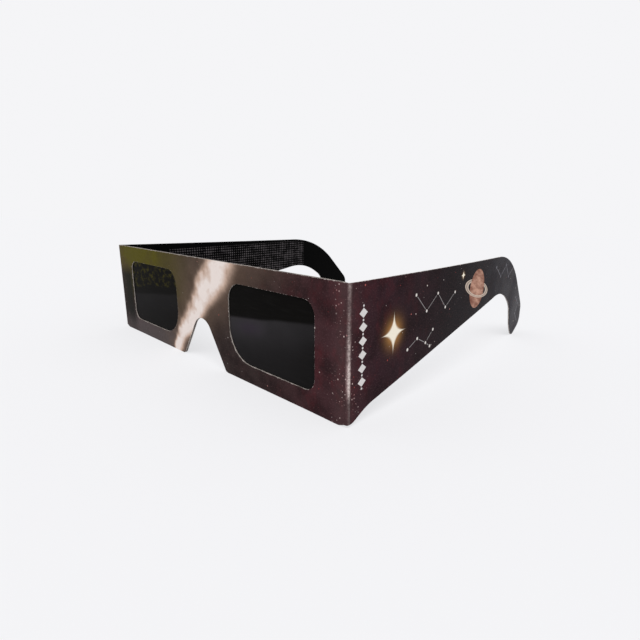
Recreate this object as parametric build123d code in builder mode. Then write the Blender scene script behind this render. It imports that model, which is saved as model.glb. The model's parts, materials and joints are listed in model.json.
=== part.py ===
from build123d import *

import os
from math import atan2, cos, degrees, radians, sin, tan

# Card glasses for looking at the sun, standing open on the front's bottom edge and on the ear hooks.
# Lengths are in millimetres and angles in degrees. X runs across the front towards the wearer's left,
# Y runs back along the temples and Z is up. Left and right are the wearer's.
# The card is first thought of upright, with the outside of the front at Y = 0 and its bottom edge at Z = 0.
# The whole of it then leans forward a little, until the ear hooks touch the ground as well.

# Card and film
card_thickness = 0.45
film_thickness = 0.12

# Front panel
front_width = 140.0
front_height = 38.0
corner_run = 1.9
corner_rise = 0.75
corner_radius = 4.0
back_card_setback = 1.2
glue_inset = 0.5

# Nose notch, whose two straight flanks would meet at the peak
notch_half_width = 14.4
notch_peak = 21.5
notch_apex_radius = 6.3
notch_lip_radius = 1.8

# Viewing windows, set by the bare card left round them, with their own radius at every corner
window_nose_band = 3.1
window_outer_band = 12.1
window_bottom_band = 6.1
window_top_band = 6.2
window_nose_top_radius = 6.2
window_nose_bottom_radius = 11.0
window_outer_bottom_radius = 4.0
window_outer_top_radius = 4.4
back_window_margin = 0.6
film_margin = 3.0
film_corner_radius = 1.5

# Temples, measured from the outside of the front. Lean is the turn in towards the head at the crease
# and bow is the further turn from the crease to the ear, both as the card has set.
temple_length = 152.0
left_lean_angle = 2.3
left_bow_angle = 7.2
right_lean_angle = 3.5
right_bow_angle = -5.5

# Straight card between the end of a panel and the bend of the crease
crease_land = 0.3

# Corners of a temple, each as a share of its length and a share of the front's height,
# with the share of the shorter straight beside it that the rounding takes up
temple_corner_shares = (
    (0.0145, 0.0200, 0.45),
    (0.0546, 0.0990, 0.45),
    (0.380, 0.338, 0.45),
    (0.735, 0.543, 0.65),
    (0.829, 0.297, 0.28),
    (0.857, 0.020, 0.20),
    (0.895, -0.176, 0.47),
    (1.000, -0.055, 0.55),
    (1.000, 0.168, 0.35),
    (0.808, 0.921, 0.48),
)

# Worked out from the sizes above
front_thickness = 2 * card_thickness + film_thickness
hinge_depth = (front_thickness + card_thickness) / 2
hinge_across = front_width / 2 - hinge_depth
front_half = hinge_across - crease_land
fold_radius = front_thickness / 2
window_inner = notch_half_width + window_nose_band
window_outer = front_width / 2 - window_outer_band
window_top = front_height - window_top_band
cut_reach = temple_length / 4


def corner_radii(points, ease_shares):
    """Radius at each inner corner of a path, from the share of the shorter run that it takes up."""
    radii = []
    for before, corner, after, share in zip(points, points[1:], points[2:], ease_shares):
        run_in = Vector(*corner) - Vector(*before)
        run_out = Vector(*after) - Vector(*corner)
        tangent_run = share * min(run_in.length, run_out.length)
        radii.append(tangent_run / tan(radians(run_in.get_angle(run_out)) / 2))
    return radii


def temple_outline():
    """Edges of a temple, from the bottom of the crease, under the hook and back along the top."""
    corners = [(temple_length * along, front_height * up) for along, up, ease in temple_corner_shares]
    points = [(0, corner_rise), *corners, (0, front_height)]
    ease_shares = [ease for along, up, ease in temple_corner_shares]
    FilletPolyline(*points, radius=corner_radii(points, ease_shares))
    Line(points[-1], points[0])


with BuildSketch() as flat_temple:
    with BuildLine():
        temple_outline()
    make_face()

# The lowest round of the hook settles how far the card leans forward
tip_round = flat_temple.edges().filter_by(GeomType.CIRCLE).sort_by(Axis.Y)[0]
tip_drop = tip_round.radius - tip_round.arc_center.Y
tip_reach = tip_round.arc_center.X * cos(radians((left_lean_angle + right_lean_angle) / 2))
stand_lean = degrees(atan2(tip_drop, tip_reach))


def reach_back(lean, bow):
    """Depth of a temple's furthest point, along its chord from the crease."""
    return hinge_depth + (temple_length - hinge_depth) * cos(radians(lean + bow / 2))


left_reach = reach_back(left_lean_angle, left_bow_angle)
right_reach = reach_back(right_lean_angle, right_bow_angle)
furthest_back = max(left_reach, right_reach)
furthest_forward = front_height * sin(radians(stand_lean))
seat_depth = (furthest_forward - furthest_back * cos(radians(stand_lean))) / 2
stance = Location((0, seat_depth, 0), (stand_lean, 0, 0))


def on_stand(plane):
    """A plane of the upright card, moved to where the card stands."""
    return Plane(stance * plane.location)


def front_plane(depth):
    """Plane across the front, at a depth behind its outside."""
    return on_stand(Plane.XZ.offset(-depth))


def temple_plan(side, lean):
    """Plan of one temple, from above, with its origin at the crease and X back along the temple."""
    heading = (-side * sin(radians(lean)), cos(radians(lean)), 0)
    return on_stand(Plane((side * hinge_across, hinge_depth, 0), x_dir=heading, z_dir=(0, 0, 1)))


def front_outline(half_width):
    """Edges of a front panel, with its eased bottom corners and its nose notch."""
    points = [
        (-half_width, corner_rise),
        (-half_width + corner_run, 0),
        (-notch_half_width, 0),
        (0, notch_peak),
        (notch_half_width, 0),
        (half_width - corner_run, 0),
        (half_width, corner_rise),
        (half_width, front_height),
        (-half_width, front_height),
    ]
    bottom_radii = [corner_radius, notch_lip_radius, notch_apex_radius, notch_lip_radius, corner_radius]
    FilletPolyline(*points, radius=[0, *bottom_radii, 0, 0, 0], close=True)


def window_outline(side, margin):
    """Edges of one viewing window, let out by a margin."""
    inner = side * (window_inner - margin)
    outer = side * (window_outer + margin)
    low = window_bottom_band - margin
    high = window_top + margin
    points = [(inner, high), (inner, low), (outer, low), (outer, high)]
    radii = [
        window_nose_top_radius,
        window_nose_bottom_radius,
        window_outer_bottom_radius,
        window_outer_top_radius,
    ]
    FilletPolyline(*points, radius=radii, close=True)


def film_face(side, mode):
    """Outline of the filter film behind one window."""
    width = window_outer - window_inner + 2 * film_margin
    height = window_top - window_bottom_band + 2 * film_margin
    with Locations((side * (window_inner + window_outer) / 2, (window_bottom_band + window_top) / 2)):
        RectangleRounded(width, height, film_corner_radius, mode=mode)


# Front card, printed on the outside
with BuildPart() as front_card:
    with BuildSketch(front_plane(0)):
        with BuildLine():
            front_outline(front_half)
        make_face()
        for side in (1, -1):
            with BuildLine():
                window_outline(side, 0)
            make_face(mode=Mode.SUBTRACT)
    extrude(amount=-card_thickness)

# Glue that joins the two cards, all round the films
with BuildPart() as frame_glue:
    with BuildSketch(front_plane(card_thickness)):
        with BuildLine():
            front_outline(front_half - back_card_setback)
        make_face()
        offset(amount=-glue_inset)
        for side in (1, -1):
            film_face(side, Mode.SUBTRACT)
    extrude(amount=-film_thickness)

# Back card, towards the face, with slightly larger windows
with BuildPart() as back_card:
    with BuildSketch(front_plane(card_thickness + film_thickness)):
        with BuildLine():
            front_outline(front_half - back_card_setback)
        make_face()
        for side in (1, -1):
            with BuildLine():
                window_outline(side, back_window_margin)
            make_face(mode=Mode.SUBTRACT)
    extrude(amount=-card_thickness)


def filter_film(side):
    """One filter film, held between the two cards."""
    with BuildPart() as film:
        with BuildSketch(front_plane(card_thickness)):
            film_face(side, Mode.ADD)
        extrude(amount=-film_thickness)
    return film


def crease(side, lean):
    """The scored bend that joins the front card to one temple, wrapped round the fold's axis."""
    with BuildPart() as bend:
        with BuildSketch(temple_plan(side, lean).offset(corner_rise)):
            with BuildLine():
                land = Line((crease_land, -side * fold_radius), (0, -side * fold_radius))
                turn = JernArc(land @ 1, land % 1, fold_radius, -side * (90 + lean))
                Line(turn @ 1, turn @ 1 + turn % 1 * crease_land)
            trace(line_width=card_thickness)
        extrude(amount=front_height - corner_rise)
    return bend


def temple_card(side, lean, bow):
    """One temple with its ear hook, cut from card that has set in a gentle bow."""
    plan = temple_plan(side, lean)
    bow_length = temple_length - hinge_depth - crease_land
    with BuildPart() as temple:
        with BuildSketch(plan.offset(-front_height)):
            with BuildLine():
                start = (crease_land, -side * fold_radius)
                JernArc(start, (1, 0), bow_length / radians(abs(bow)), side * bow)
            trace(line_width=card_thickness)
        extrude(amount=2 * front_height)
        with BuildSketch(Plane(plan.origin, x_dir=plan.x_dir, z_dir=plan.x_dir.cross(plan.z_dir))):
            with Locations((-hinge_depth, 0)):
                add(flat_temple.sketch)
        extrude(amount=cut_reach, both=True, mode=Mode.INTERSECT)
    return temple


left_filter = filter_film(1)
right_filter = filter_film(-1)
left_crease = crease(1, left_lean_angle)
right_crease = crease(-1, right_lean_angle)
left_temple = temple_card(1, left_lean_angle, left_bow_angle)
right_temple = temple_card(-1, right_lean_angle, right_bow_angle)

os.makedirs("parts", exist_ok=True)
front_card.part.label = "front_card"
export_step(front_card.part, "parts/front_card.step")
back_card.part.label = "back_card"
export_step(back_card.part, "parts/back_card.step")
frame_glue.part.label = "frame_glue"
export_step(frame_glue.part, "parts/frame_glue.step")
left_filter.part.label = "left_filter"
export_step(left_filter.part, "parts/left_filter.step")
right_filter.part.label = "right_filter"
export_step(right_filter.part, "parts/right_filter.step")
left_crease.part.label = "left_crease"
export_step(left_crease.part, "parts/left_crease.step")
right_crease.part.label = "right_crease"
export_step(right_crease.part, "parts/right_crease.step")
left_temple.part.label = "left_temple"
export_step(left_temple.part, "parts/left_temple.step")
right_temple.part.label = "right_temple"
export_step(right_temple.part, "parts/right_temple.step")
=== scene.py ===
"""Looks of a pair of card eclipse glasses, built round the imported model.

The printed board is one flat blank: the front, the two creases and the two temples. Places on it are in
millimetres: u runs along the blank from the middle of the front towards the wearer's left, v runs up it, and
depth runs through the board from its outer face. Blender's own places are in metres, in the model's frame.
"""
import json
import logging
import math
from collections.abc import Callable, Sequence
from dataclasses import dataclass
from enum import Enum, IntEnum
from typing import ClassVar

import bmesh
import bpy
import numpy as np
from mathutils import Matrix, Vector, noise
from mathutils.geometry import delaunay_2d_cdt


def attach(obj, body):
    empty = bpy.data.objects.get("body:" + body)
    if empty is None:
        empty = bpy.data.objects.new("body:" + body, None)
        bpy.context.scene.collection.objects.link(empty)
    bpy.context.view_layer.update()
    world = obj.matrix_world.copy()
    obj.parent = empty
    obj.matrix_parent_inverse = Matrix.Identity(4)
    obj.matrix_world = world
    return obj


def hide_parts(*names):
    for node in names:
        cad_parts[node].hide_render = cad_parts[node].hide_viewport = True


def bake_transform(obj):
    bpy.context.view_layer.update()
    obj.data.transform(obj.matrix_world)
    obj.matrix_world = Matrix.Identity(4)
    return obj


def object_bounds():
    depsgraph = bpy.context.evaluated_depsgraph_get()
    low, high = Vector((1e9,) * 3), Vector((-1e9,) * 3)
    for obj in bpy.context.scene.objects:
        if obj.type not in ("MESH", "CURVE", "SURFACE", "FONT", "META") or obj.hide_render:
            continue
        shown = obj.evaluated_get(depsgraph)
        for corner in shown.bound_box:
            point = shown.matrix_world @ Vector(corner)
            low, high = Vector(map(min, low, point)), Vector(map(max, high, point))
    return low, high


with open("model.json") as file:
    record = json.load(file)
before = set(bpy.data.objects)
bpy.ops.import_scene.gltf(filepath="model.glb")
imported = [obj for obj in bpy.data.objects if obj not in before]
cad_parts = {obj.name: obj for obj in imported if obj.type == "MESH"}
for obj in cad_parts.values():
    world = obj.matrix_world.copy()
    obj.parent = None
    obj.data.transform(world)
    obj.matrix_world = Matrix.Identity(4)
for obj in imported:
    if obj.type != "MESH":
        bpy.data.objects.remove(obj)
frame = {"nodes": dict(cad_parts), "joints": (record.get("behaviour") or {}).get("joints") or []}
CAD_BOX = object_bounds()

# Metres in a millimetre, the distance in metres within which points are one, and next to nothing
MM = 0.001
WELD = 1e-6
TINY = 1e-9

# How a screen shows a colour: its full value, and the straight foot and the curve from it to linear light
SCREEN_FULL = 255
SCREEN_FOOT = 0.04045
SCREEN_FOOT_SLOPE = 12.92
SCREEN_OFFSET = 0.055
SCREEN_POWER = 2.4

# What is kept on a mesh's points: the place on the blank, and the distance to the nearest cut edge
BLANK = "blank"
RIM = "rim"

log = logging.getLogger("eclipse_glasses")

Colour = tuple[float, float, float, float]
Relief = Callable[[float, float, float], float]
Loop = np.ndarray


def ink(red: float, green: float, blue: float) -> Colour:
    """A colour as it shows on a screen, 0 to 255, as the linear colour that a shader takes.

    Args:
        red: Red, 0 to 255.
        green: Green, 0 to 255.
        blue: Blue, 0 to 255.

    Returns:
        The linear colour, with full alpha.
    """

    def linear(share: float) -> float:
        """One channel, from its shown share to its linear one.

        Args:
            share: How bright the channel shows, 0 to 1.

        Returns:
            How much light that is, 0 to 1.
        """
        if share <= SCREEN_FOOT:
            return share / SCREEN_FOOT_SLOPE
        return ((share + SCREEN_OFFSET) / (1 + SCREEN_OFFSET)) ** SCREEN_POWER

    return (linear(red / SCREEN_FULL), linear(green / SCREEN_FULL), linear(blue / SCREEN_FULL), 1.0)


def ease(value: float, low: float, high: float) -> float:
    """A smooth step from 0 at low to 1 at high.

    Args:
        value: Where the step is read.
        low: Where it is 0.
        high: Where it is 1.

    Returns:
        The step's share there.
    """
    share = min(1.0, max(0.0, (value - low) / (high - low)))
    return share * share * (3 - 2 * share)


def ripple(u: float, v: float, wave: float, seed: float) -> float:
    """Smooth noise over the blank, from about -1 to 1.

    Args:
        u: Place along the blank.
        v: Place up the blank.
        wave: Distance between two crests.
        seed: Picks one of many like patterns.

    Returns:
        The noise there.
    """
    return noise.noise(Vector((u / wave, v / wave, seed)))


class Side(Enum):
    """The wearer's two sides."""

    LEFT = 1
    RIGHT = -1

    @property
    def word(self) -> str:
        """The side as names have it."""
        return self.name.lower()

    @property
    def arm(self) -> str:
        """The body that this side's temple rides on."""
        return f"{self.word}_arm"

    @property
    def fold(self) -> dict:
        """The joint of this side's temple."""
        return next(joint for joint in frame["joints"] if joint["child"] == self.arm)


@dataclass(frozen=True)
class Card:
    """The upright card in the model's frame: x across the front, y back from its printed face and z up."""

    up: Vector
    back: Vector
    face: float
    foot: float

    @classmethod
    def as_packed(cls) -> "Card":
        """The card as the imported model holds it.

        Returns:
            The card, from the left fold's axis and the front card's outer face and bottom edge.
        """
        up = Vector(Side.LEFT.fold["axis"]).normalized()
        back = up.cross(Vector((1, 0, 0)))
        corners = [vertex.co for vertex in frame["nodes"]["front_card"].data.vertices]
        face = min(corner.dot(back) for corner in corners)
        return cls(up, back, face, min(corner.dot(up) for corner in corners))

    def measure(self, place: Vector) -> Vector:
        """A place in the model's frame, as the card's x, y and z in millimetres."""
        return Vector((place.x, place.dot(self.back) - self.face, place.dot(self.up) - self.foot)) / MM

    def place(self, x: float, y: float, z: float) -> Vector:
        """A place of the card in millimetres, in the model's frame."""
        return Vector((x * MM, 0, 0)) + self.back * (y * MM + self.face) + self.up * (z * MM + self.foot)

    def turn(self, direction: Vector) -> Vector:
        """A direction of the card, in the model's frame."""
        return Vector((direction.x, 0, 0)) + self.back * direction.y + self.up * direction.z


class Sheet:
    """A sheet of the glasses, which maps the flat blank to where the sheet stands."""

    thickness: float

    def unroll(self, place: Vector) -> Vector:
        """A place in the model's frame, as u, v and depth."""
        raise NotImplementedError

    def roll(self, u: float, v: float, depth: float) -> Vector:
        """A place of the blank, in the model's frame."""
        raise NotImplementedError


@dataclass(frozen=True)
class FlatSheet(Sheet):
    """A sheet of the front panel, which stays flat."""

    card: Card
    face: float
    thickness: float

    @classmethod
    def of_node(cls, card: Card, node: str) -> "FlatSheet":
        """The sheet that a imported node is.

        Args:
            card: The card that the sheet is part of.
            node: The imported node's name.

        Returns:
            The sheet, from the node's front and back.
        """
        depths = [card.measure(vertex.co).y for vertex in frame["nodes"][node].data.vertices]
        return cls(card, min(depths), max(depths) - min(depths))

    def unroll(self, place: Vector) -> Vector:
        """A place in the model's frame, as u, v and depth."""
        measured = self.card.measure(place)
        return Vector((measured.x, measured.z, measured.y - self.face))

    def roll(self, u: float, v: float, depth: float) -> Vector:
        """A place of the blank, in the model's frame."""
        return self.card.place(u, self.face + depth, v)


@dataclass(frozen=True)
class Arc:
    """One face of a bowed temple as seen from above: part of a circle, in the card's x and y."""

    centre: Vector
    radius: float

    @classmethod
    def through(cls, points: Sequence[Vector]) -> "Arc":
        """The circle that fits some points best.

        Args:
            points: Places of the card, of which x and y count.

        Returns:
            The circle.
        """
        rows = np.array([(2 * point.x, 2 * point.y, 1) for point in points])
        squares = np.array([point.x**2 + point.y**2 for point in points])
        x, y, rest = np.linalg.lstsq(rows, squares, rcond=None)[0]
        return cls(Vector((x, y)), math.sqrt(rest + x * x + y * y))


@dataclass(frozen=True)
class BowedSheet(Sheet):
    """A temple, which has set in a gentle bow.

    Its two broad faces are those whose normals point across by more than the broadside share.
    """

    card: Card
    side: Side
    outer: Arc
    inner: Arc
    start: Vector
    turn: float
    start_u: float
    broadside: ClassVar[float] = 0.5

    @classmethod
    def of_node(cls, card: Card, side: Side, start_u: float) -> "BowedSheet":
        """The sheet that a packed temple is.

        Args:
            card: The card that the temple is part of.
            side: The temple's side.
            start_u: How far along the blank the temple starts.

        Returns:
            The sheet, from circles through the temple's two faces.
        """
        mesh = frame["nodes"][f"{side.word}_temple"].data
        faces = {1: [], -1: []}
        for polygon in mesh.polygons:
            facing = polygon.normal.x * side.value
            if abs(facing) > cls.broadside:
                corners = [card.measure(mesh.vertices[index].co) for index in polygon.vertices]
                faces[1 if facing > 0 else -1].extend(corners)
        outer, inner = Arc.through(faces[1]), Arc.through(faces[-1])
        first = min(faces[1], key=lambda corner: corner.y)
        last = max(faces[1], key=lambda corner: corner.y)
        start = (first.xy - outer.centre).normalized()
        turn = math.copysign(1.0, start.cross(last.xy - outer.centre))
        return cls(card, side, outer, inner, start, turn, start_u)

    @property
    def thickness(self) -> float:
        """How thick the board is."""
        return abs(self.outer.radius - self.inner.radius)

    @property
    def middle(self) -> float:
        """Radius of the middle of the board, along which u is measured."""
        return (self.outer.radius + self.inner.radius) / 2

    @property
    def heading(self) -> Vector:
        """The way that the temple leaves the crease, in the card's x and y."""
        return Vector((-self.start.y, self.start.x)) * self.turn

    def unroll(self, place: Vector) -> Vector:
        """A place in the model's frame, as u, v and depth.

        Args:
            place: The place, in metres.

        Returns:
            Its place on the blank.
        """
        measured = self.card.measure(place)
        spoke = measured.xy - self.outer.centre
        along = math.atan2(self.start.cross(spoke), self.start.dot(spoke)) * self.turn * self.middle
        depth = abs(self.outer.radius - spoke.length)
        return Vector((self.side.value * (self.start_u + along), measured.z, depth))

    def roll(self, u: float, v: float, depth: float) -> Vector:
        """A place of the blank, in the model's frame.

        Args:
            u: Place along the blank.
            v: Place up the blank.
            depth: Depth in the board.

        Returns:
            The place, in metres.
        """
        angle = (self.side.value * u - self.start_u) / self.middle * self.turn
        inwards = math.copysign(1.0, self.inner.radius - self.outer.radius)
        radius = self.outer.radius + inwards * depth
        across = Vector((-self.start.y, self.start.x))
        spot = self.outer.centre + (self.start * math.cos(angle) + across * math.sin(angle)) * radius
        return self.card.place(spot.x, spot.y, v)


@dataclass(frozen=True)
class Crease:
    """The scored bend between the front card and a temple, wrapped round the fold's axis."""

    card: Card
    side: Side
    front_end: float
    thickness: float

    @property
    def axis(self) -> Vector:
        """The fold's axis from above, in the card's x and y."""
        return self.card.measure(Vector(self.side.fold["pos_m"])).xy

    @property
    def land(self) -> float:
        """Length of the straight strip at each end of the bend."""
        return abs(self.axis.x) - self.front_end

    @property
    def middle(self) -> float:
        """Radius of the middle of the board, along which u is measured."""
        return self.axis.y - self.thickness / 2

    def angle(self, heading: Vector) -> float:
        """How far the bend turns, for a temple that leaves it that way."""
        return math.atan2(heading.y, self.side.value * heading.x)

    def end_u(self, angle: float) -> float:
        """How far along the blank the crease ends."""
        return self.front_end + 2 * self.land + self.middle * angle

    def section(self, along: float, depth: float, angle: float) -> tuple[float, float]:
        """One point of the bend's section.

        Args:
            along: Distance along the blank from the front card's end.
            depth: Depth in the board.
            angle: How far the bend turns.

        Returns:
            The point's x away from the axis and y, both in millimetres from the axis.
        """
        spoke = self.axis.y - depth
        if along < self.land:
            return along - self.land, -spoke
        turned = min(angle, (along - self.land) / self.middle)
        past = along - self.land - self.middle * turned
        x = spoke * math.sin(turned) + past * math.cos(turned)
        return x, past * math.sin(turned) - spoke * math.cos(turned)


@dataclass(frozen=True)
class BentSheet(Sheet):
    """The board of a crease whose temple leaves it at a known angle."""

    crease: Crease
    angle: float

    @property
    def thickness(self) -> float:
        """How thick the board is."""
        return self.crease.thickness

    def roll(self, u: float, v: float, depth: float) -> Vector:
        """A place of the blank, in the model's frame.

        Args:
            u: Place along the blank.
            v: Place up the blank.
            depth: Depth in the board.

        Returns:
            The place, in metres.
        """
        crease = self.crease
        x, y = crease.section(abs(u) - crease.front_end, depth, self.angle)
        return crease.card.place(crease.side.value * (abs(crease.axis.x) + x), crease.axis.y + y, v)


def signed_area(loop: Loop) -> float:
    """Area inside a loop of points, above 0 if it runs anticlockwise."""
    after = np.roll(loop, -1, 0)
    return float((loop[:, 0] * after[:, 1] - loop[:, 1] * after[:, 0]).sum() / 2)


def inside(points: np.ndarray, loops: Sequence[Loop]) -> np.ndarray:
    """Whether each point lies on the material that some loops bound.

    Args:
        points: Points as rows.
        loops: The outline and its holes.

    Returns:
        One truth value for each point.
    """
    found = np.zeros(len(points), bool)
    for loop in loops:
        after = np.roll(loop, -1, 0)
        for (x0, y0), (x1, y1) in zip(loop, after):
            crosses = (y0 > points[:, 1]) != (y1 > points[:, 1])
            reach = x0 + (points[:, 1] - y0) * (x1 - x0) / ((y1 - y0) or TINY)
            found ^= crosses & (points[:, 0] < reach)
    return found


def distance_to(points: np.ndarray, starts: np.ndarray, ends: np.ndarray) -> np.ndarray:
    """Distance of each point to the nearest of some straight runs.

    Args:
        points: Points as rows.
        starts: Where each run starts.
        ends: Where each run ends.

    Returns:
        One distance for each point.
    """
    nearest = np.full(len(points), np.inf)
    for start, end in zip(starts, ends):
        run = end - start
        share = ((points - start) @ run / max(run @ run, TINY)).clip(0, 1)
        nearest = np.minimum(nearest, np.linalg.norm(points - start - share[:, None] * run, axis=1))
    return nearest


@dataclass(frozen=True)
class Runs:
    """The straight runs between a loop's points.

    Each has its way, its length, how far the loop turns at its start, and whether it is straight by nature or
    stands for a piece of a curve.
    """

    ways: np.ndarray
    lengths: np.ndarray
    turns: np.ndarray
    straight: np.ndarray
    sharp_turn: float

    @classmethod
    def of_loop(cls, loop: Loop, long_share: float, sharp_turn: float) -> "Runs":
        """The runs of a loop.

        Args:
            loop: The loop.
            long_share: How much longer than its shorter neighbour a run is that is straight by nature.
            sharp_turn: The least turn that is a corner and not part of a curve.

        Returns:
            The runs, in the loop's order.
        """
        runs = np.roll(loop, -1, 0) - loop
        lengths = np.linalg.norm(runs, axis=1)
        ways = runs / lengths[:, None]
        before = np.roll(ways, 1, 0)
        crosses = before[:, 0] * ways[:, 1] - before[:, 1] * ways[:, 0]
        turns = np.abs(np.arctan2(crosses, (before * ways).sum(1)))
        shorter = np.minimum(np.roll(lengths, 1), np.roll(lengths, -1))
        return cls(ways, lengths, turns, lengths > long_share * shorter, sharp_turn)

    def tangent(self, corner: int, run: int) -> np.ndarray:
        """The way of the smooth outline at one end of a run.

        Args:
            corner: The point at that end, which is also the run that leaves it.
            run: The run that the tangent is for.

        Returns:
            The way, of length 1.
        """
        if self.straight[run] or self.turns[corner] > self.sharp_turn:
            return self.ways[run]
        before = corner - 1
        for other in (before, corner):
            if self.straight[other]:
                return self.ways[other]
        way = self.ways[before] / self.lengths[before] + self.ways[corner] / self.lengths[corner]
        return way / np.linalg.norm(way)


@dataclass(frozen=True)
class Outlines:
    """The cut outlines of a sheet on the blank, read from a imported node."""

    loops: tuple[Loop, ...]
    long_share: float = 1.8
    sharp_turn: float = math.radians(12)

    @classmethod
    def of_node(cls, node: str, sheet: Sheet) -> "Outlines":
        """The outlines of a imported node's outer face.

        Args:
            node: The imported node's name.
            sheet: The sheet that the node is.

        Returns:
            The outline and its holes, with the material always on the left.
        """
        mesh = bmesh.new()
        mesh.from_mesh(frame["nodes"][node].data)
        bmesh.ops.remove_doubles(mesh, verts=mesh.verts, dist=WELD)
        places = {vertex: sheet.unroll(vertex.co) for vertex in mesh.verts}
        half = sheet.thickness / 2
        # The faces are walked in the mesh's own order, so that the loops start at the same point in every run
        faces = [face for face in mesh.faces if all(places[corner].z < half for corner in face.verts)]
        outer = set(faces)
        following = {}
        for face in faces:
            for corner in face.loops:
                if not outer.issuperset(corner.edge.link_faces):
                    following[corner.vert] = corner.link_loop_next.vert
        loops = []
        while following:
            first = next(iter(following))
            walk = [first]
            while (after := following.pop(walk[-1])) != first:
                walk.append(after)
            loops.append(np.array([places[vertex].xy for vertex in walk]))
        mesh.free()
        loops.sort(key=lambda loop: -abs(signed_area(loop)))
        if signed_area(loops[0]) < 0:
            loops = [loop[::-1] for loop in loops]
        return cls(tuple(loops))

    @classmethod
    def of_strip(cls, start_u: float, end_u: float, low: float, high: float) -> "Outlines":
        """The outline of a plain upright strip.

        Args:
            start_u: One end along the blank.
            end_u: The other end along the blank.
            low: Its bottom.
            high: Its top.

        Returns:
            The outline.
        """
        left, right = sorted((start_u, end_u))
        return cls((np.array([(left, low), (right, low), (right, high), (left, high)]),))

    @property
    def box(self) -> tuple[float, float, float, float]:
        """The outline's left, low, right and high ends."""
        return (*self.loops[0].min(0), *self.loops[0].max(0))

    @property
    def reach(self) -> float:
        """How far the outline reaches from the middle of the blank."""
        return float(np.abs(self.loops[0][:, 0]).max())

    @property
    def end_span(self) -> tuple[float, float]:
        """The outline's furthest end.

        Returns:
            Its lowest and highest place up the blank.
        """
        outline = self.loops[0]
        ends = outline[np.abs(outline[:, 0]) > self.reach - WELD / MM]
        return float(ends[:, 1].min()), float(ends[:, 1].max())

    def finer(self, spacing: float) -> list[Loop]:
        """The loops with more points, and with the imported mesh's short straight runs made round again.

        Args:
            spacing: Greatest distance between two points.

        Returns:
            The finer loops.
        """
        return [self.finer_loop(loop, spacing) for loop in self.loops]

    def finer_loop(self, loop: Loop, spacing: float) -> Loop:
        """One loop with more points.

        Args:
            loop: The loop.
            spacing: Greatest distance between two points.

        Returns:
            The finer loop.
        """
        runs = Runs.of_loop(loop, self.long_share, self.sharp_turn)
        points = []
        for index, length in enumerate(runs.lengths):
            following = (index + 1) % len(loop)
            leave, arrive = runs.tangent(index, index), runs.tangent(following, index)
            ends = (loop[index], loop[following], leave, arrive)
            count = max(1, math.ceil(length / spacing))
            points += [self.hermite(*ends, length, step / count) for step in range(count)]
        return np.array(points)

    @staticmethod
    def hermite(
        start: np.ndarray, end: np.ndarray, leave: np.ndarray, arrive: np.ndarray, length: float, share: float
    ) -> np.ndarray:
        """One point of the curve that leaves one point and arrives at another.

        Args:
            start: The first point.
            end: The second point.
            leave: The way at the first point.
            arrive: The way at the second point.
            length: Distance between the points.
            share: How far along the curve.

        Returns:
            The point there.
        """
        square, cube = share**2, share**3
        point = start * (2 * cube - 3 * square + 1) + end * (3 * square - 2 * cube)
        return point + length * (leave * (cube - 2 * square + share) + arrive * (cube - square))


@dataclass(frozen=True)
class DieCut:
    """How a sheet's edge looks once it has been cut: softly rounded at both faces, with a slight burr.

    An edge that wanders is one that wasn't cut at all, as where glue has run.
    """

    rounding: float
    steps: int = 3
    burr_share: float = 0.0
    burr_wave: float = 0.4
    wander_share: float = 0.0
    wander_wave: float = 4.0

    def profile(self, thickness: float) -> list[tuple[float, float]]:
        """The rings of points that make the edge.

        Args:
            thickness: How thick the sheet is.

        Returns:
            Each ring's inset as a share of the rounding, and its depth, from the outer face to the inner one.
        """
        angles = [math.pi / 2 * step / self.steps for step in range(self.steps + 1)]
        outer = [(1 - math.sin(angle), self.rounding * (1 - math.cos(angle))) for angle in angles]
        inner = [(inset, thickness - depth) for inset, depth in reversed(outer)]
        return outer + inner

    def shares(self, loop: Loop, inset: float, depth: float) -> list[float]:
        """How far each point of a ring is moved in, as a share of the rounding.

        Args:
            loop: The outline.
            inset: The ring's own share.
            depth: The ring's depth.

        Returns:
            One share for each point.
        """
        burr = self.burr_share * (1 - inset)
        found = []
        for u, v in loop:
            rough = burr * (0.5 + ripple(u, v, self.burr_wave, depth))
            wander = self.wander_share * (0.5 + ripple(u, v, self.wander_wave, 0.0))
            found.append(inset + max(0.0, rough) + max(0.0, wander))
        return found


class Skin(IntEnum):
    """The three skins of a sheet, as places in its list of materials."""

    OUTER = 0
    EDGE = 1
    INNER = 2


@dataclass(frozen=True)
class Finishes:
    """The materials of a sheet: its outer face, its cut edge and its inner face."""

    outer: bpy.types.Material
    edge: bpy.types.Material
    inner: bpy.types.Material


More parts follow.
